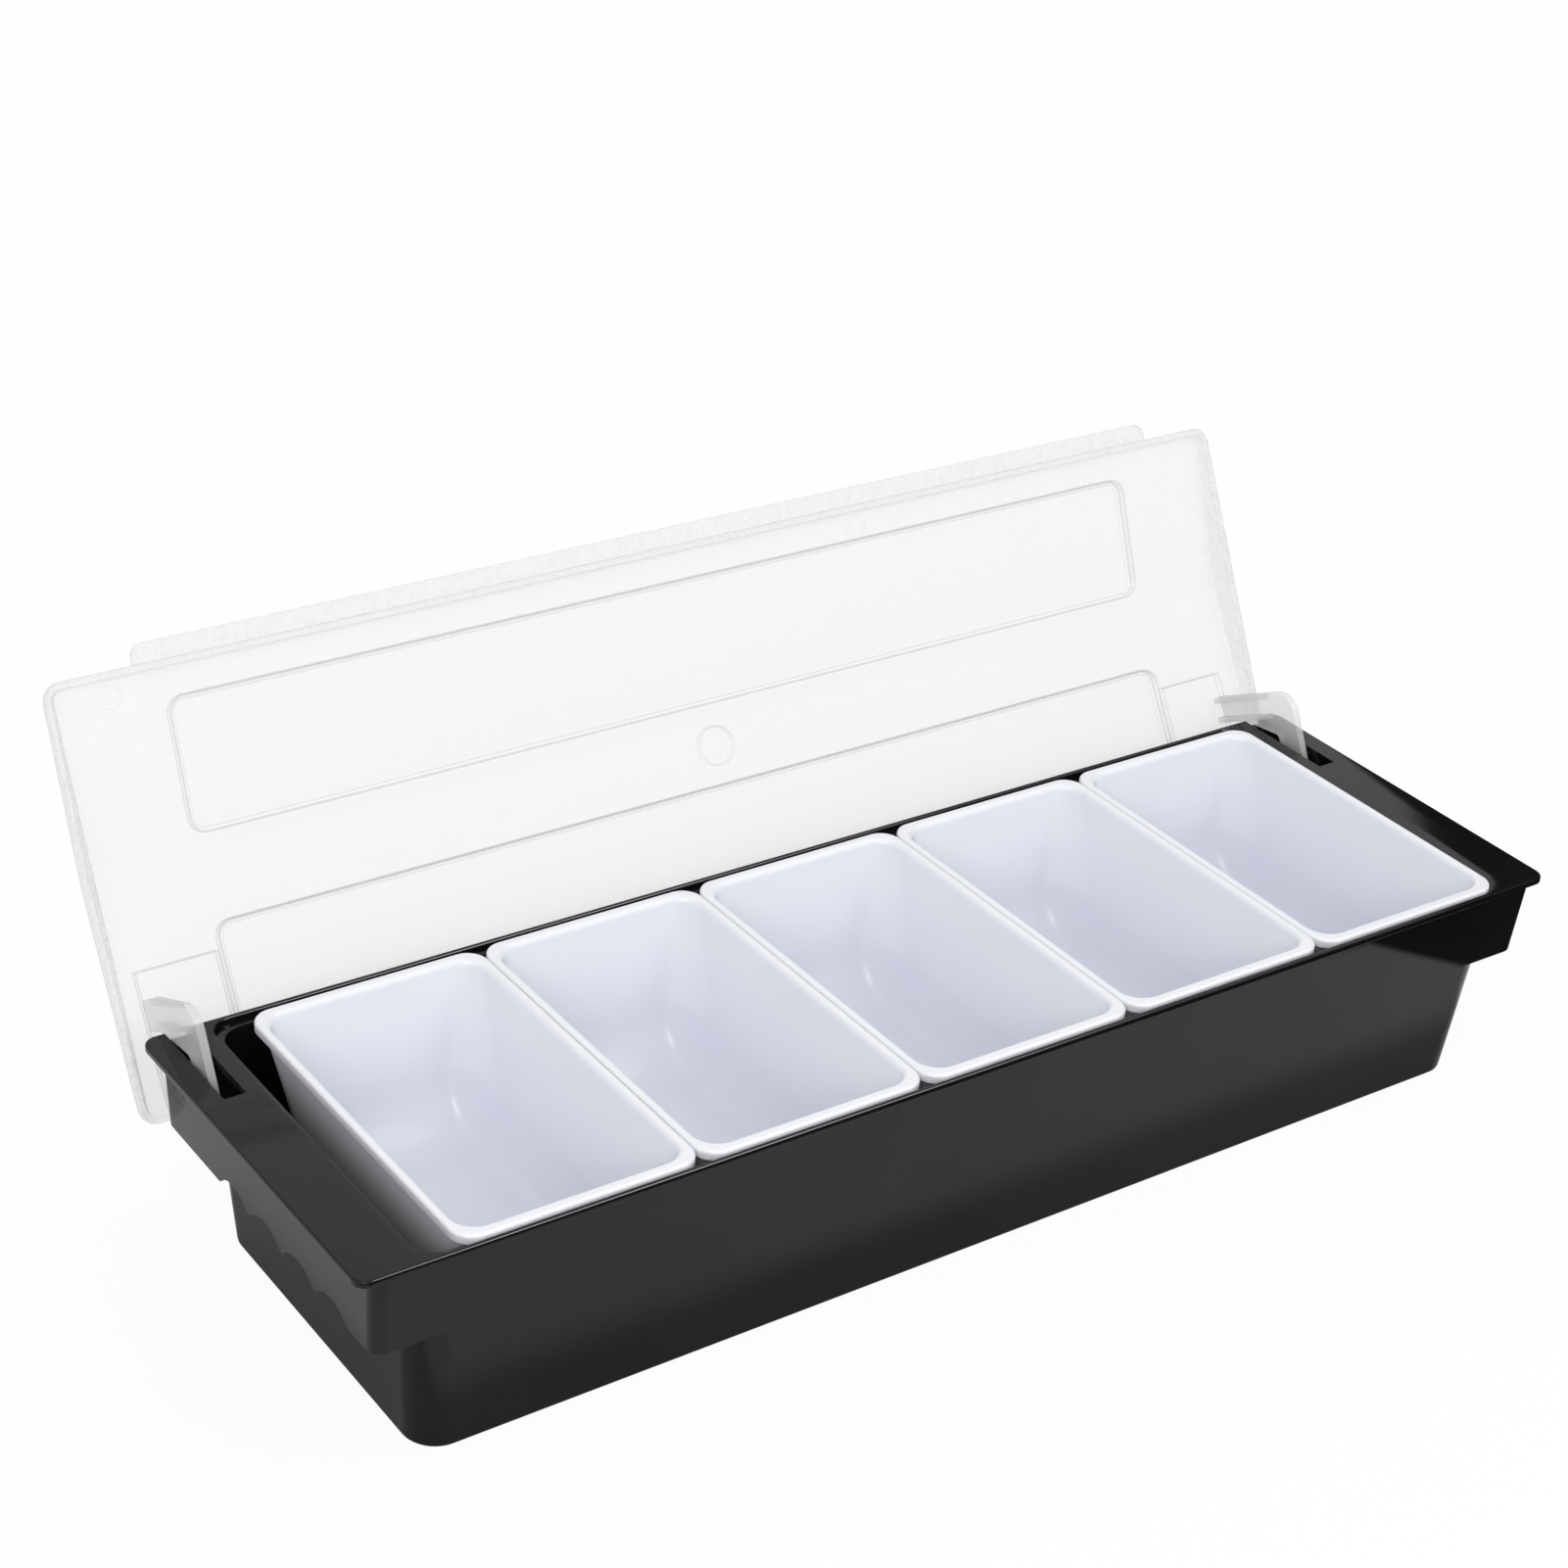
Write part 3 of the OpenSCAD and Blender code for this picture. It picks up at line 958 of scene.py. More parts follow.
        for side in (-1, 1):
            for place in (self.slot_inner, self.slot_outer):
                cut(mesh, rim_faces(), (side * place, 0, 0), (1, 0, 0))
        cut(mesh, [f for f in rim_faces() if abs(f.calc_center_median().x) > past_length],
            (0, self.slot_front, 0), (0, 1, 0))
        middles = {face: face.calc_center_median() for face in rim_faces()}
        gone = [face for face, middle in middles.items() if middle.y > self.slot_front
                and self.slot_inner < abs(middle.x) < self.slot_outer]
        bmesh.ops.delete(mesh, geom=gone, context="FACES")
        for side in (-1, 1):
            for place in (self.slot_inner, self.slot_outer):
                pair = [v for v in mesh.verts if abs(v.co.x - side * place) < NEAR
                        and abs(v.co.y - self.slot_front) < NEAR]
                pair.sort(key=lambda v: v.co.z)
                mesh.edges.new((pair[0], pair[-1]))
            for axis, place in ((0, side * self.slot_inner), (0, side * self.slot_outer),
                                (1, self.slot_front)):
                rim = [e for e in mesh.edges if len(e.link_faces) < 2
                       and all(abs(v.co[axis] - place) < NEAR for v in e.verts)
                       and all(side * v.co.x > self.slot_inner - NEAR for v in e.verts)]
                bmesh.ops.contextual_create(mesh, geom=rim)

    def skirts(self) -> BMesh:
        """Make both end skirts, scalloped along the bottom.

        Returns:
            Their mesh.
        """
        mesh = bmesh.new()

        def outline(height: float, inset: float) -> Outline:
            """Return a skirt's outline at a height.

            Args:
                height: The height.
                inset: How far inside the skirt's outside it is.

            Returns:
                The outline.
            """
            drop = self.rim_bottom - height
            return Outline(
                self.skirt_half_length - inset - drop * math.tan(math.radians(self.skirt_draft)),
                self.well_half_width - inset - drop * math.tan(math.radians(self.draft)),
                self.skirt_corner - inset, height)

        bottom, soft = self.skirt_bottom, self.skirt_round
        middle, rise = self.skirt_round_middle
        wall = Wall(mesh, outline(self.rim_bottom, 0.0), segments=self.skirt_segments,
                    closed=False)
        wall.to(outline(bottom + soft, 0.0), outline(bottom + rise, middle),
                outline(bottom, soft), outline(bottom, self.wall - soft),
                outline(bottom + rise, self.wall - middle), outline(bottom + soft, self.wall),
                outline(self.rim_bottom, self.wall), outline(self.rim_bottom, 0.0))
        bmesh.ops.remove_doubles(mesh, verts=mesh.verts, dist=NEAR / 10)
        half = math.sqrt(self.scallop_radius ** 2
                         - (self.scallop_radius - self.scallop_depth) ** 2)
        for place in self.scallop_places:
            for share in (*(-part for part in reversed(self.scallop_cuts)), 0.0,
                          *self.scallop_cuts):
                cut(mesh, mesh.faces, (0, place + share * half, 0), (0, 1, 0))
        self.scallop(mesh, half)
        start = self.well_half_length - self.well_corner
        tilt = math.radians(self.draft)
        for side in (1, -1):
            cut(mesh, mesh.faces, (side * start, 0, self.rim_bottom),
                (-side * math.cos(tilt), 0, math.sin(tilt)))
        inner = [f for f in mesh.faces if abs(f.calc_center_median().x)
                 < start - (self.rim_bottom - f.calc_center_median().z) * math.tan(tilt) - NEAR]
        bmesh.ops.delete(mesh, geom=inner, context="FACES")
        close_holes(mesh)
        return mesh

    def scallop(self, mesh: BMesh, half: float) -> None:
        """Raise the skirts' bottom edge into the finger scallops.

        Args:
            mesh: The skirts, cut across at each scallop.
            half: Half a scallop's width.
        """
        slope = math.tan(math.radians(self.skirt_draft))
        for vertex in mesh.verts:
            if (vertex.co.z > self.skirt_bottom + 2 * self.skirt_round
                    or abs(vertex.co.x) < self.skirt_half_length - 2 * self.wall):
                continue
            for place in self.scallop_places:
                away = abs(vertex.co.y - place)
                if away < half:
                    rise = (math.sqrt(self.scallop_radius ** 2 - away ** 2)
                            - self.scallop_radius + self.scallop_depth)
                    vertex.co.z += rise
                    vertex.co.x += math.copysign(rise * slope, vertex.co.x)

    def lugs(self) -> BMesh:
        """Make the bored lugs beside the slots.

        Returns:
            Their mesh.
        """
        mesh = bmesh.new()
        top = self.rim_bottom - self.hinge.z
        for side in (-1, 1):
            for start, end in ((self.well_half_length - self.wall, self.slot_inner),
                               (self.slot_outer, self.slot_outer + self.wall / 2)):
                bored_block(mesh, side * start, side * end, (self.hinge.y, self.hinge.z),
                            self.lug_half, top, self.bore_radius)
        return mesh

    def build(self) -> None:
        """Make the housing's pieces."""
        black = GlossBlack()
        self.pieces = [
            finish_piece(self.tray(), "housing_tray", Body.HOUSING, Slot.HOUSING, black,
                         ("housing",)),
            finish_piece(self.skirts(), "housing_end_skirts", Body.HOUSING, Slot.HOUSING, black),
            finish_piece(self.lugs(), "housing_hinge_lugs", Body.HOUSING, Slot.HOUSING, black),
        ]


def bored_block(mesh: BMesh, start: float, end: float, centre: tuple[float, float], half: float,
                top: float, bore: float) -> None:
    """Add a block with a round bore along X.

    Args:
        mesh: The mesh that the block is added to.
        start: The block's first face along X.
        end: Its last face.
        centre: The Y and Z of the bore.
        half: The distance from the bore to the block's sides and bottom.
        top: The distance from the bore to the block's top.
        bore: The bore's radius.
    """
    turn = Matrix.Translation((start, *centre)) @ Matrix.Rotation(math.pi / 2, 4, "Y")
    circle = bmesh.ops.create_circle(mesh, cap_ends=False, segments=32, radius=bore, matrix=turn)
    ring = list(dict.fromkeys(e for v in circle["verts"] for e in v.link_edges))
    grown = bmesh.ops.extrude_edge_only(mesh, edges=ring)["geom"]
    for vertex in verts_of(grown):
        y, z = vertex.co.y - centre[0], vertex.co.z - centre[1]
        stretch = 1.0 / max(abs(y) / half, abs(z) / (top if z > 0 else half))
        vertex.co.y, vertex.co.z = centre[0] + y * stretch, centre[1] + z * stretch
    faces = [f for f in grown if isinstance(f, BMFace)]
    thicken(mesh, faces, (end - start, 0, 0), keep=False)


def lathe(mesh: BMesh, profile: Sequence[Span], steps: int = 32) -> None:
    """Add a solid turned round the X axis.

    Args:
        mesh: The mesh that it is added to.
        profile: Pairs of place along X and radius, from axis to axis.
        steps: The number of steps round.
    """
    others = set(mesh.verts)
    line = [mesh.verts.new((x, 0.0, radius)) for x, radius in profile]
    edges = [mesh.edges.new(pair) for pair in zip(line, line[1:])]
    bmesh.ops.spin(mesh, geom=[*line, *edges], cent=(0, 0, 0), axis=(1, 0, 0),
                   angle=2 * math.pi, steps=steps, use_merge=True)
    bmesh.ops.remove_doubles(mesh, verts=[v for v in mesh.verts if v not in others],
                             dist=NEAR / 10)


# --------------------------------------------------------------------- inserts


@dataclass
class Insert(Assembly):
    """One lift-out insert: a lip round a bowl with scooped ends."""

    number: int
    first_x: float = -168.6
    pitch: float = 87.4
    centre_y: float = -1.2
    half_width: float = 43.5
    half_length: float = 71.5
    lip_bottom: float = 77.7
    lip_top: float = 81.3
    lip_corner: float = 8.0
    lip_round: float = 1.1
    lip_under_round: float = 0.3
    mouth_flare: float = 1.9
    mouth_drop: float = 2.8
    bowl_half_width: float = 41.6
    bowl_half_length: float = 68.5
    bowl_corner: float = 10.0
    wall: float = 1.8
    bottom: float = 20.0
    scoop: float = 24.0
    side: float = 12.0
    draft: float = 4.5
    least_corner: float = 0.25
    corner_segments: int = 9

    def scooped(self, inset: float, steps: int = 9) -> list[Outline]:
        """Return the outlines of the bowl's scooped lower part.

        Args:
            inset: The wall's thickness for the inside, or nothing for the outside.
            steps: The number of steps between the outlines.

        Returns:
            The outlines, from the widest down to the floor.
        """
        bottom = self.bottom + inset
        slope = (self.lip_bottom - bottom) * math.tan(math.radians(self.draft))
        side, scoop = self.side - inset, self.scoop - inset
        across = self.bowl_half_width - inset - slope - side
        along = self.bowl_half_length - inset - slope - scoop
        rings = []
        for step in range(steps + 1):
            angle = 0.5 * math.pi * step / steps
            spread = math.cos(angle)
            rings.append(Outline(across + side * spread, along + scoop * spread,
                                 max(side * spread, self.least_corner),
                                 bottom + scoop * (1 - math.sin(angle)),
                                 max(scoop * spread, self.least_corner)))
        return rings

    def shell(self) -> BMesh:
        """Make the lip and the bowl.

        Returns:
            The insert's mesh.
        """
        mesh = bmesh.new()
        outside = self.scooped(0.0)[::-1]
        neck = Outline(self.bowl_half_width, self.bowl_half_length, self.bowl_corner,
                       self.lip_bottom)
        lip = Outline(self.half_width, self.half_length, self.lip_corner,
                      self.lip_bottom + self.lip_under_round)
        opening = Outline(self.bowl_half_width - self.wall, self.bowl_half_length - self.wall,
                          self.bowl_corner - self.wall, self.lip_top - self.mouth_drop)
        centre_x = self.first_x + self.pitch * (self.number - 1)
        wall = Wall(mesh, outside[0], (centre_x, self.centre_y), segments=self.corner_segments)
        wall.to(*outside[1:], neck)
        wall.to(lip.inset(self.lip_under_round, self.lip_bottom), lip)
        wall.to(*rounding(lip.inset(0.0, self.lip_top - self.lip_round), self.lip_round,
                          self.lip_top, rise=True, steps=4))
        wall.to(*rounding(opening, -self.mouth_flare, self.lip_top, rise=False, steps=6,
                          depth=self.mouth_drop))
        wall.to(*self.scooped(self.wall)).close()
        return mesh

    def build(self) -> None:
        """Make the insert."""
        name = f"insert_{self.number}"
        self.pieces = [finish_piece(self.shell(), f"{name}_bowl", Body(name), Slot.INSERT,
                                    SatinWhite(), (name,), sharp=50.0)]


# ----------------------------------------------------------------------- cover


@dataclass(frozen=True)
class EdgePoint:
    """The middle of the rounding between the cover's top and its skirt, at one place."""

    core: Vector
    up: Vector
    out: Vector
    slide: float

    def shifted(self, drop: float) -> Vector:
        """Return the middle, moved out along the cover as a slanted end wall is lower down."""
        end = abs(self.out.x) > SLIGHT
        return self.core + Vector((self.slide * drop * end, 0.0, 0.0))

    def at(self, edge_height: float, share: float, radius: float) -> Vector:
        """Return a point of the rounding.

        Args:
            edge_height: The height of the cover's edge above the axis.
            share: How far down the rounding the point is, from 0 to 1.
            radius: The rounding's radius.

        Returns:
            The point.
        """
        height = self.core.z - edge_height
        return self.shifted(-height) + radius * self.up.slerp(self.out, share)

    def foot(self, edge_height: float, height: float, out: float) -> Vector:
        """Return a point of the skirt.

        Args:
            edge_height: The height of the cover's edge above the axis.
            height: The point's height above the edge.
            out: How far outside the rounding's middle it is.

        Returns:
            The point.
        """
        point = self.shifted(-height) + out * self.out
        return Vector((point.x, point.y, edge_height + height))


@dataclass
class Cover(Assembly):
    """The cover: one long frosted shell on two arms, drawn shut and then swung open.

    Drawn shut, its frame starts at the hinge's axis, -Y is forward and Z is up. The steps
    of a patch are pairs of inset and rise, and the pin's profile is pairs of place along
    X and radius.
    """

    half_length: float = 249.1
    front: float = 137.6
    back: float = -11.1
    edge_height: float = 15.3
    wall: float = 2.6
    round_radius: float = 4.2
    plan_corner: float = 6.5
    draft: float = 5.0
    crown: float = 13.0
    crown_place: float = 70.0
    crown_blend: float = 6.0
    front_height: float = 6.6
    hinge_radius: float = 22.42
    gate_place: float = 62.0
    gate_radius: float = 7.5
    gate_corner: float = 7.47
    tab_half_length: float = 217.0
    tab_reach: float = 6.8
    tab_corner: float = 4.5
    tab_depth: float = 16.0
    tab_round: float = 0.5
    tab_root: float = 0.1
    patch_margin: float = 0.9
    panel_steps: tuple[Span, ...] = (
        (-0.6, 0.0), (-0.25, 0.05), (0.1, 0.22), (0.4, 0.6), (0.7, 0.98), (1.05, 1.15),
        (1.5, 1.2))
    gate_steps: tuple[Span, ...] = (
        (0.0, 0.0), (0.25, 0.15), (0.5, 0.45), (0.9, 0.6), (4.6, 0.6), (4.9, 0.45),
        (5.4, 0.4))
    back_cuts: int = 5
    crown_cuts: tuple[float, ...] = (2.0, 4.0, 6.0)
    round_steps: int = 5
    corner_segments: int = 5
    panel_segments: int = 6
    gate_segments: int = 8
    tab_segments: int = 6
    edge_soften: float = 0.35
    back_cut: float = 6.38
    back_cut_angle: float = 22.5
    arm_inner: float = 234.8
    arm_outer: float = 237.8
    arm_reach: float = 29.2
    arm_root: float = 10.4
    arm_drop: float = 21.1
    arm_flare: float = 5.0
    arm_round: float = 0.45
    arm_round_segments: int = 3
    upright_leg: float = 17.3
    lower_leg: float = 11.7
    hook_radius: float = 9.0
    hook_segments: int = 10
    inner_hook_radius: float = 1.6
    inner_hook_segments: int = 3
    boss_radius: float = 6.5
    boss_segments: int = 8
    rib_height: float = 3.0
    rib_thickness: float = 2.3
    rib_run: float = 30.0
    sink: float = 0.05
    pin_profile: tuple[Span, ...] = (
        (229.2, 0.0), (229.2, 2.1), (229.6, 2.5), (231.5, 2.5), (231.5, 4.1), (231.9, 4.5),
        (238.3, 4.5), (238.7, 4.1), (238.7, 2.5), (240.0, 2.5), (240.4, 2.1), (240.4, 0.0))
    hinge: Hinge = Hinge()
    panels: Panels = Panels()

    def __post_init__(self) -> None:
        """Work out the slopes that meet at the crown."""
        crown_z = self.edge_height + self.crown
        reach = math.hypot(self.crown_place, crown_z)
        self.front_slope = (self.crown - self.front_height) / (self.front - self.crown_place)
        self.back_slope = math.tan(math.atan2(crown_z, self.crown_place)
                                   - math.asin(self.hinge_radius / reach))

    @property
    def turn(self) -> float:
        """The place, forward of the axis, where the back slope meets the round back edge."""
        return -self.hinge_radius * math.sin(math.atan(self.back_slope))

    def top(self, reach: float) -> float:
        """Return the height of the cover's top above its edge.

        Args:
            reach: The place, forward of the axis.

        Returns:
            The height there.
        """
        if reach < self.turn:
            return math.sqrt(self.hinge_radius ** 2 - reach ** 2) - self.edge_height
        away = reach - self.crown_place
        if away < -self.crown_blend:
            return self.crown + away * self.back_slope
        if away > self.crown_blend:
            return self.crown - away * self.front_slope
        start = self.crown - self.crown_blend * self.back_slope
        run = away + self.crown_blend
        bend = (self.front_slope + self.back_slope) / (4 * self.crown_blend)
        return start + run * self.back_slope - bend * run * run

    def slope(self, reach: float) -> float:
        """Return how steeply the top rises at a distance forward of the axis."""
        step = 0.01
        return (self.top(reach + step) - self.top(reach - step)) / (2 * step)

    def up(self, reach: float) -> Vector:
        """Return the top's outward normal, cover shut."""
        return Vector((0.0, self.slope(reach), 1.0)).normalized()

    def surface(self, x: float, reach: float, inset: float) -> Vector:
        """Return a point at a depth under the cover's top.

        Args:
            x: The place along the cover.
            reach: The place of the point's foot on the top, forward of the axis.
            inset: The depth, square to the top.

        Returns:
            The point, cover shut, from the axis.
        """
        return Vector((x, -reach, self.edge_height + self.top(reach))) - inset * self.up(reach)

    def swing(self, mesh: BMesh) -> BMesh:
        """Swing a mesh from the shut cover's place to the open cover's.

        Args:
            mesh: The mesh, drawn shut, from the axis.

        Returns:
            The same mesh.
        """
        bmesh.ops.rotate(mesh, cent=(0, 0, 0), verts=mesh.verts,
                         matrix=Matrix.Rotation(math.radians(-self.hinge.open_angle), 3, "X"))
        bmesh.ops.translate(mesh, vec=(0, self.hinge.y, self.hinge.z), verts=mesh.verts)
        return mesh

    def patch(self, mesh: BMesh, centre: float, half: tuple[float, float], corner: float,
              steps: Sequence[Span], segments: int) -> None:
        """Set a raised or sunk patch in the cover's flattened top.

        Args:
            mesh: The flattened top, in which heights are rises above the top.
            centre: The patch's centre, forward of the axis.
            half: Half its length and half its width.
            corner: Its corner radius.
            steps: Pairs of inset and rise, from its outline to its middle.
            segments: The number of edges round each corner.
        """

        def middle_face() -> BMFace:
            """Find the face at the patch's centre.

            Returns:
                The face.
            """
            around = [f for f in mesh.faces if min(v.co.x for v in f.verts) < 0
                      < max(v.co.x for v in f.verts)]
            return min(around, key=lambda f: abs(f.calc_center_median().y + centre))

        for side in (-1, 1):
            cut(mesh, [middle_face()], (side * (half[0] + self.patch_margin), 0, 0), (1, 0, 0))
        hole = middle_face()
        rim = list(hole.edges)
        bmesh.ops.delete(mesh, geom=[hole], context="FACES_ONLY")
        base = Outline(half[0], half[1], corner, 0.0)
        rings = [base.inset(inset, rise) for inset, rise in steps]
        wall = Wall(mesh, rings[0], (0.0, -centre), segments=segments, closed=False)
        first = wall.edges()
        wall.to(*rings[1:]).close()
        bmesh.ops.triangle_fill(mesh, edges=[*rim, *first], use_beauty=True, normal=(0, 0, 1))

    def skin(self, inset: float) -> BMesh:
        """Return the outside of the shell or, at the wall's depth, its inside.

        Args:
            inset: The depth under the outside.

        Returns:
            The mesh, drawn shut, from the axis, and open along its edge.
        """
        mesh = bmesh.new()
        soft = self.round_radius
        core = self.hinge_radius - soft
        low = (self.back + soft) * self.hinge_radius / core
        high = self.front - soft * (1.0 - math.sin(math.atan(self.front_slope)))
        half, corner = self.half_length - soft, self.plan_corner - soft
        middle, width = (low + high) / 2, (high - low) / 2
        Wall(mesh, Outline(half, width, corner, 0.0), (0.0, -middle),
             segments=self.corner_segments)
        for line in self.cut_lines(low):
            cut(mesh, mesh.faces, (0, -line, 0), (0, 1, 0))
        for start, end in self.panels.spans:
            self.patch(mesh, (start + end) / 2, (self.panels.half_length, (end - start) / 2),
                       self.panels.corner, self.panel_steps, self.panel_segments)
        if inset:
            self.patch(mesh, self.gate_place, (self.gate_radius, self.gate_radius),
                       self.gate_corner, self.gate_steps, self.gate_segments)
        edge = {}
        for vertex in dict.fromkeys(v for e in mesh.edges if e.is_boundary for v in e.verts):
            x, y = vertex.co.x, vertex.co.y + middle
            out = Vector((x - max(corner - half, min(half - corner, x)),
                          y - max(corner - width, min(width - corner, y)), 0.0)).normalized()
            core_point = self.surface(x, -vertex.co.y, soft)
            edge[vertex] = EdgePoint(core_point, self.up(-vertex.co.y), out, self.slide(x))
        for vertex in mesh.verts:
            if vertex not in edge:
                vertex.co = self.surface(vertex.co.x, -vertex.co.y, inset - vertex.co.z)
        bend, rim = soft - inset, self.edge_height
        for vertex, point in edge.items():
            vertex.co = point.at(rim, 0.0, bend)
        for step in range(1, self.round_steps + 1):
            edge = self.grow(mesh, edge, lambda point, share=step / self.round_steps: point.at(
                rim, share, bend))
        soften = -self.edge_soften if inset else self.edge_soften
        edge = self.grow(mesh, edge, lambda point: point.foot(rim, self.edge_soften, bend))
        edge = self.grow(mesh, edge, lambda point: point.foot(rim, 0.0, bend - soften))
        if not inset:
            self.grow(mesh, edge, lambda point: point.foot(
                rim, 0.0, soft - self.wall + self.edge_soften))
        bmesh.ops.remove_doubles(mesh, verts=mesh.verts, dist=NEAR / 10)
        return mesh

    def cut_lines(self, low: float) -> list[float]:
        """Return the places, forward of the axis, where the flattened top is cut across.

        Args:
            low: The top's back end.

        Returns:
            The places, from back to front.
        """
        lines = [low + (self.turn - low) * step / self.back_cuts
                 for step in range(1, self.back_cuts + 1)]
        lines += [self.crown_place + share for share in self.crown_cuts]
        gate = (self.gate_place - self.gate_radius, self.gate_place + self.gate_radius)
        for start, end in (gate, *self.panels.spans):
            lines += [start - self.patch_margin, end + self.patch_margin]
        return sorted(lines)

    def slide(self, x: float) -> float:
        """Return how far an end wall moves out for each millimetre down."""
        return math.copysign(math.tan(math.radians(self.draft)), x)

    @staticmethod
    def grow(mesh: BMesh, edge: dict[BMVert, EdgePoint],
             place: Callable[[EdgePoint], Vector]) -> dict[BMVert, EdgePoint]:
        """Grow the skin's open edge by one ring.

        Args:
            mesh: The skin.
            edge: The edge's vertices and what each belongs to.
            place: Gives a new vertex's place.

        Returns:
            The new edge's vertices.
        """
        rim = [e for e in mesh.edges if e.is_boundary]
        fresh = set(verts_of(bmesh.ops.extrude_edge_only(mesh, edges=rim)["geom"]))
        grown = {}
        for vertex, point in edge.items():
            new = next(e.other_vert(vertex) for e in vertex.link_edges
                       if e.other_vert(vertex) in fresh)
            new.co = place(point)
            grown[new] = point
        return grown

    def shell(self) -> BMesh:
        """Make the shell.

        Returns:
            Its mesh, swung open.
        """
        mesh = bmesh.new()
        for inset in (0.0, self.wall):
            skin = self.skin(inset)
            data = bpy.data.meshes.new("skin")
            skin.to_mesh(data)
            skin.free()
            mesh.from_mesh(data)
            bpy.data.meshes.remove(data)
        bmesh.ops.remove_doubles(mesh, verts=mesh.verts, dist=NEAR)
        angle = math.radians(self.back_cut_angle)
        cut(mesh, mesh.faces, (0, self.back_cut, self.edge_height),
            (0, math.sin(angle), -math.cos(angle)), clear=True)
        close_holes(mesh)
        return self.swing(mesh)

    def tab(self) -> BMesh:
        """Make the lift tab.

        Returns:
            Its mesh, swung open.
        """
        mesh = bmesh.new()
        place = self.front + self.tab_reach - self.tab_depth / 2
        plate = Outline(self.tab_half_length, self.tab_depth / 2, self.tab_corner,
                        self.edge_height + self.edge_soften)
        top = self.edge_height + self.wall
        wall = Wall(mesh, plate.inset(self.edge_soften, self.edge_height), (0.0, -place),
                    segments=self.tab_segments)
        wall.to(plate, *rounding(plate.inset(0.0, top - self.tab_round), self.tab_round, top,
                                 rise=True)).close()
        cut(mesh, mesh.faces, (0, self.tab_root - self.front, 0), (0, 1, 0), clear=True)
        close_holes(mesh)
        return self.swing(mesh)

    def arms(self) -> BMesh:
        """Make both arms with their ribs, hubs and pins.

        Returns:
            Their mesh, swung open.
        """
        mesh = bmesh.new()
        for side in (-1, 1):
            self.arm_plate(mesh, side)
            for place in (self.arm_reach - self.arm_root, self.arm_reach - self.rib_thickness):
                self.rib(mesh, side, place)
            lathe(mesh, [(side * x, radius) for x, radius in self.pin_profile])
        return self.swing(mesh)

    def root(self, reach: float) -> float:
        """Return the height above the axis at which an arm meets the cover."""
        return self.edge_height + self.top(reach) - self.wall - self.sink

    def arm_plate(self, mesh: BMesh, side: int) -> None:
        """Add one arm's hooked plate.

        Args:
            mesh: The mesh that it is added to.
            side: 1 for the right arm, -1 for the left.
        """
        boss, reach, drop = self.boss_radius, self.arm_reach, self.arm_drop
        root, corner = reach - self.arm_root, reach - self.upright_leg
        shape = [(reach, self.root(reach)), (reach, -drop), (-boss, -drop), (-boss, boss),
                 (boss, boss), (boss, self.lower_leg - drop), (corner, self.lower_leg - drop),
                 (root, self.edge_height - self.arm_flare), (root, self.root(root))]
        corners = [mesh.verts.new((side * self.arm_inner, -forward, height))
                   for forward, height in shape]
        mesh.faces.new(corners)
        made = list(corners)
        for chosen, radius, segments in (
                (corners[1:2], self.hook_radius, self.hook_segments),
                (corners[2:5], boss, self.boss_segments),
                (corners[5:7], self.inner_hook_radius, self.inner_hook_segments)):
            made += round_corners(mesh, chosen, radius, segments)
        made = list(dict.fromkeys(v for v in made if v.is_valid))
        bmesh.ops.remove_doubles(mesh, verts=made, dist=NEAR)
        face = next(f for v in made if v.is_valid for f in v.link_faces)
        grown = thicken(mesh, [face], (side * (self.arm_outer - self.arm_inner), 0, 0))
        far = next(f for f in grown if isinstance(f, BMFace))
        border = [e for f in (face, far) for e in f.edges]
        bmesh.ops.recalc_face_normals(mesh, faces=mesh.faces)
        bmesh.ops.bevel(mesh, geom=border, offset=self.arm_round, offset_type="OFFSET",
                        segments=self.arm_round_segments, profile=0.5, affect="EDGES",
                        material=-1, clamp_overlap=True)

    def rib(self, mesh: BMesh, side: int, place: float) -> None:
        """Add a rib on an arm's inboard face, thinning out away from the cover.

        Args:
            mesh: The mesh that it is added to.
            side: 1 for the right arm, -1 for the left.
            place: The rib's back face, forward of the axis.
        """
        root = self.root(place)
        foot = side * (self.arm_inner + self.sink)
        ends = [(side * (self.arm_inner - self.rib_height), root), (foot, root),
                (foot, root - self.rib_run)]
        face = mesh.faces.new([mesh.verts.new((x, -place, z)) for x, z in ends])
        thicken(mesh, [face], (0, -self.rib_thickness, 0))

    def build(self) -> None:
        """Make the cover's pieces."""
        clear = FrostedClear()
        thick = FrostedClear("frosted_clear_plate", colour=(0.80, 0.805, 0.81),
                             edge_colour=(0.38, 0.385, 0.39), haze=0.36, edge_haze=0.85,
                             mark=0.0, foot=0.0)
        self.pieces = [
            finish_piece(self.shell(), "cover_shell", Body.COVER, Slot.COVER, clear, ("cover",)),
            finish_piece(self.tab(), "cover_lift_tab", Body.COVER, Slot.COVER, clear),
            finish_piece(self.arms(), "cover_arms", Body.COVER, Slot.COVER, thick),
        ]


# ---------------------------------------------------------------------- studio


@dataclass(frozen=True)
class Lamp:
    """A soft square lamp that faces the caddy: its place and side in metres, and its watts."""

    name: str
    place: Place
    size: float
    power: float
    target: Place = (0.0, 0.0, 0.05)

    def light(self) -> bpy.types.Object:
        """Add the lamp to the scene.

        Returns:
            The lamp.
        """
        data = bpy.data.lights.new(self.name, "AREA")
        data.shape = "SQUARE"
        data.size = self.size
        data.energy = self.power
        lamp = add_object(self.name, data)
        lamp.location = self.place
        aim = Vector(self.target) - Vector(self.place)
        lamp.rotation_euler = aim.to_track_quat("-Z", "Y").to_euler()
        return lamp


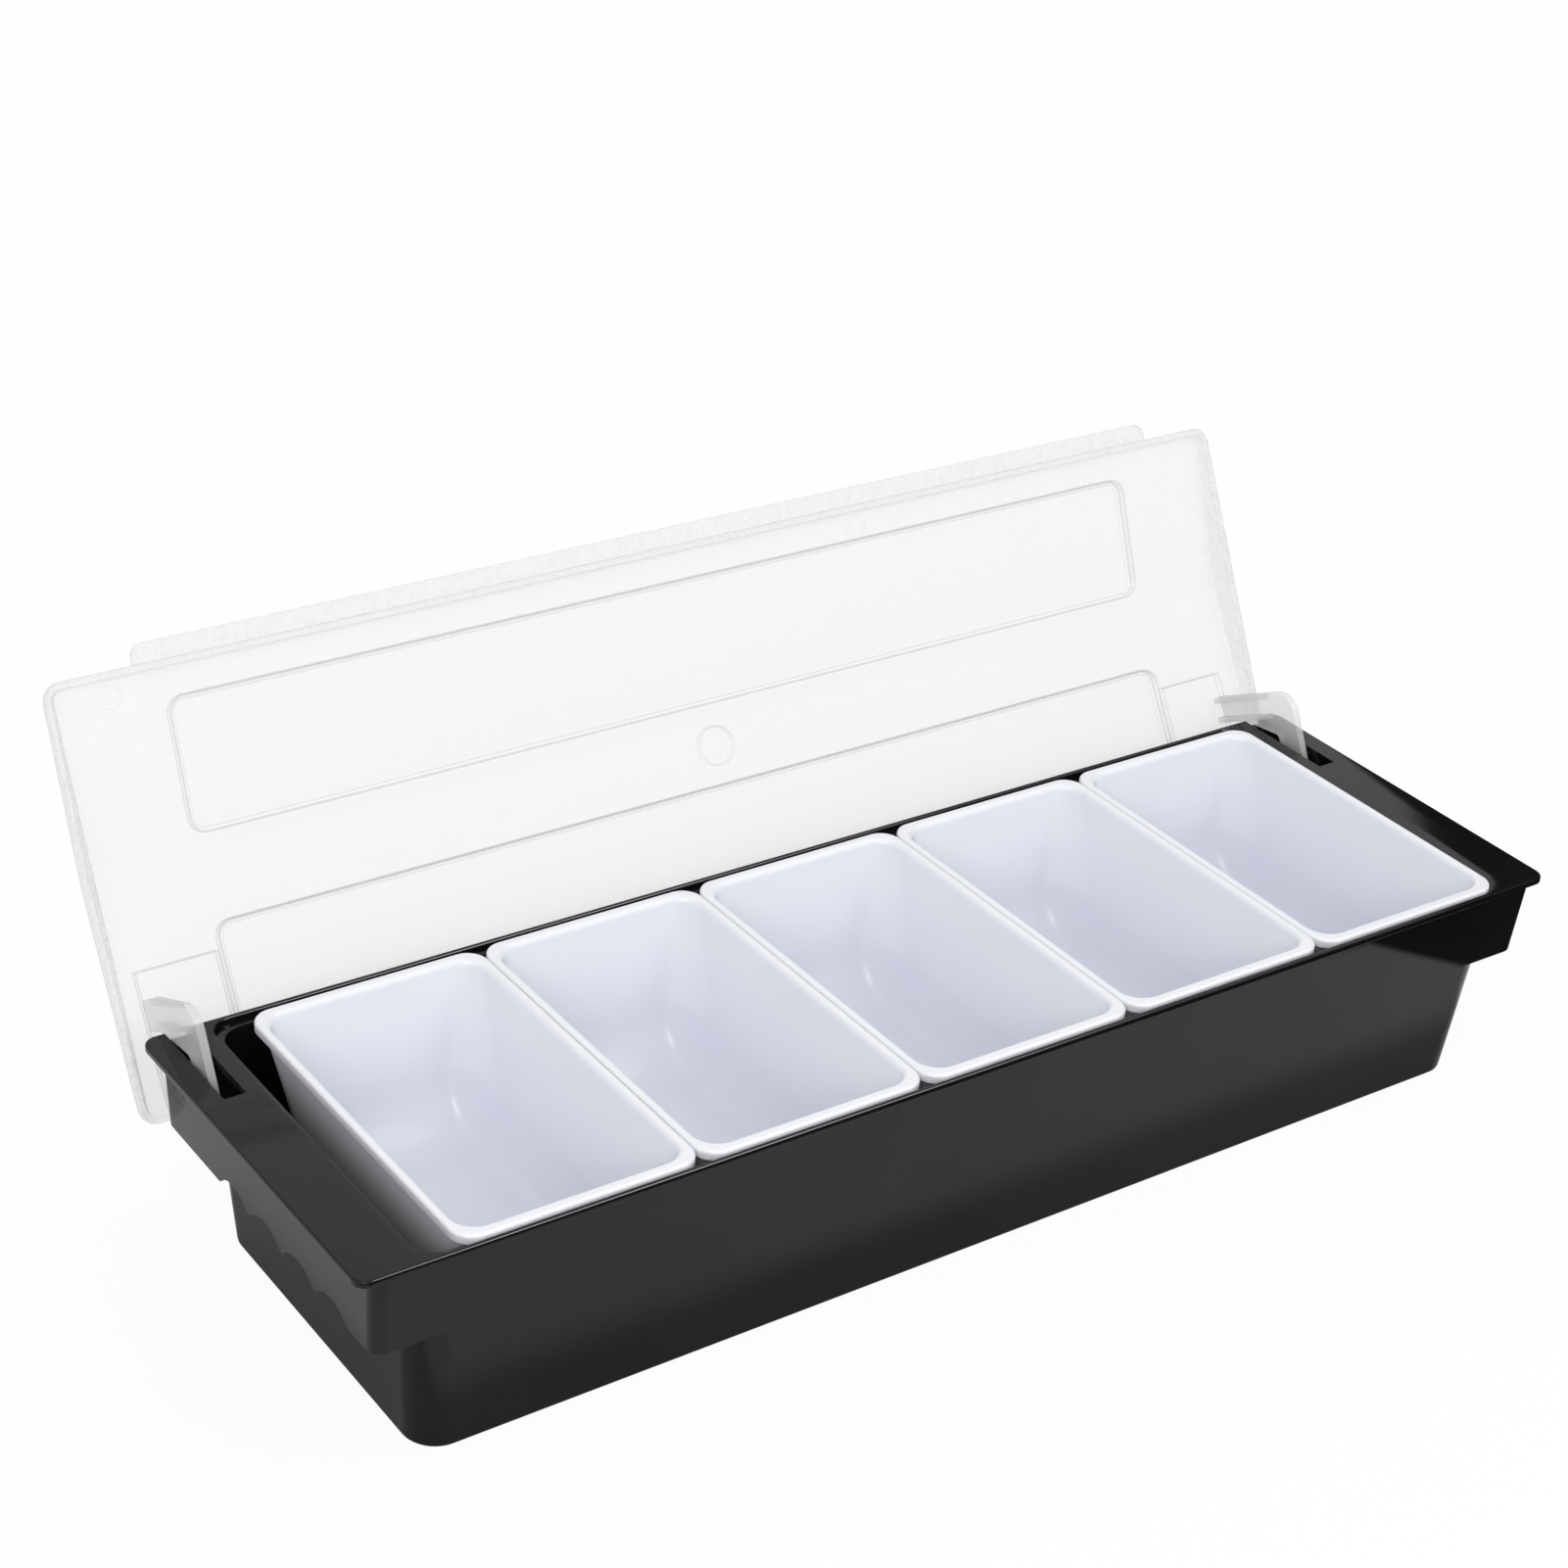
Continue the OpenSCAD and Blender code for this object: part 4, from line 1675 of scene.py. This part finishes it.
@dataclass(frozen=True)
class Studio:
    """The camera, the lamps, the white surround and the floor.

    The camera's place is in metres, and its right, down and forward are directions.
    """

    place: Place = (-0.601316, -0.745485, 0.659716)
    right: Place = (0.82202259, -0.56626347, 0.06020417)
    down: Place = (-0.22628664, -0.42183679, -0.87797954)
    forward: Place = (0.52256407, 0.70809562, -0.47489723)
    focal_pixels: float = 3282.7
    image_pixels: float = 1601.0
    sensor: float = 36.0
    near_clip: float = 0.01
    sky: float = 0.7
    dark_sky: float = 0.04
    flag_directions: Span = (0.666, 0.672)
    floor_half: float = 6.0
    key: Lamp = Lamp("key", (-1.15, -1.25, 1.2), 1.1, 14.5)
    fill: Lamp = Lamp("fill", (0.8, -0.7, 1.5), 1.3, 8.0)
    strip: Lamp = Lamp("strip", (0.75, -1.0, 1.5), 0.7, 32.0)

    def camera(self) -> None:
        """Add the camera and make it the scene's."""
        data = bpy.data.cameras.new("camera")
        data.sensor_width = self.sensor
        data.lens = self.focal_pixels / self.image_pixels * self.sensor
        data.clip_start = self.near_clip
        camera = add_object("camera", data)
        turn = Matrix((self.right, -Vector(self.down), -Vector(self.forward))).transposed()
        camera.matrix_world = Matrix.Translation(self.place) @ turn.to_4x4()
        bpy.context.scene.camera = camera

    def surround(self) -> None:
        """Make the world white to the camera, with a dark flag at the right for the gloss."""
        world = bpy.data.worlds.new("studio")
        world.use_nodes = True
        graph = Graph(world.node_tree)
        towards = graph.node("ShaderNodeTexCoord", {}, {}).outputs["Generated"]
        along, _, _ = graph.split(towards)
        flag = along.ramp(*self.flag_directions)
        light, seen, dark = [
            graph.node("ShaderNodeBackground", {}, {"Color": WHITE, "Strength": strength})
            for strength in (self.sky, 1.0, self.dark_sky)]
        camera, glossy, through = graph.rays()
        plain = camera.most(through).most(glossy)
        lit = graph.node("ShaderNodeMixShader", {},
                         {0: plain, 1: light.outputs[0], 2: seen.outputs[0]})
        mixed = graph.node("ShaderNodeMixShader", {},
                           {0: glossy * flag, 1: lit.outputs[0], 2: dark.outputs[0]})
        graph.node("ShaderNodeOutputWorld", {}, {"Surface": mixed.outputs[0]})
        bpy.context.scene.world = world

    def ground(self) -> None:
        """Add the floor."""
        mesh = bmesh.new()
        bmesh.ops.create_grid(mesh, x_segments=2, y_segments=2, size=self.floor_half)
        data = bpy.data.meshes.new("floor")
        mesh.to_mesh(data)
        mesh.free()
        data.materials.append(StudioFloor().material())
        floor = add_object("floor", data)

    def build(self) -> None:
        """Set up the studio."""
        bpy.context.scene.view_settings.view_transform = "Standard"
        self.camera()
        self.surround()
        self.ground()
        self.key.light()
        self.fill.light()

    def edge_light(self, pieces: Sequence[bpy.types.Object]) -> None:
        """Add a lamp that only draws a bright line along the edges of some glossy pieces.

        Args:
            pieces: The pieces.
        """
        strip = self.strip.light()
        strip.visible_diffuse = False
        strip.visible_camera = False
        lit = bpy.data.collections.new("edge_lit")
        for piece in pieces:
            lit.objects.link(piece)
        strip.light_linking.receiver_collection = lit


def main() -> None:
    """Build the studio and the caddy, piece by piece, and log each piece's face count."""
    logging.basicConfig(level=logging.INFO, format="%(name)s: %(message)s")
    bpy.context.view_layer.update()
    studio, housing = Studio(), Housing()
    studio.build()
    row = [Insert(number) for number in range(1, INSERT_COUNT + 1)]
    for part in [housing, *row, Cover()]:
        part.build()
        part.dress()
        for piece in part.pieces:
            LOG.info("%s: %d faces", piece.name, len(piece.data.polygons))
    studio.edge_light(housing.pieces)


if __name__ == "__main__":
    main()
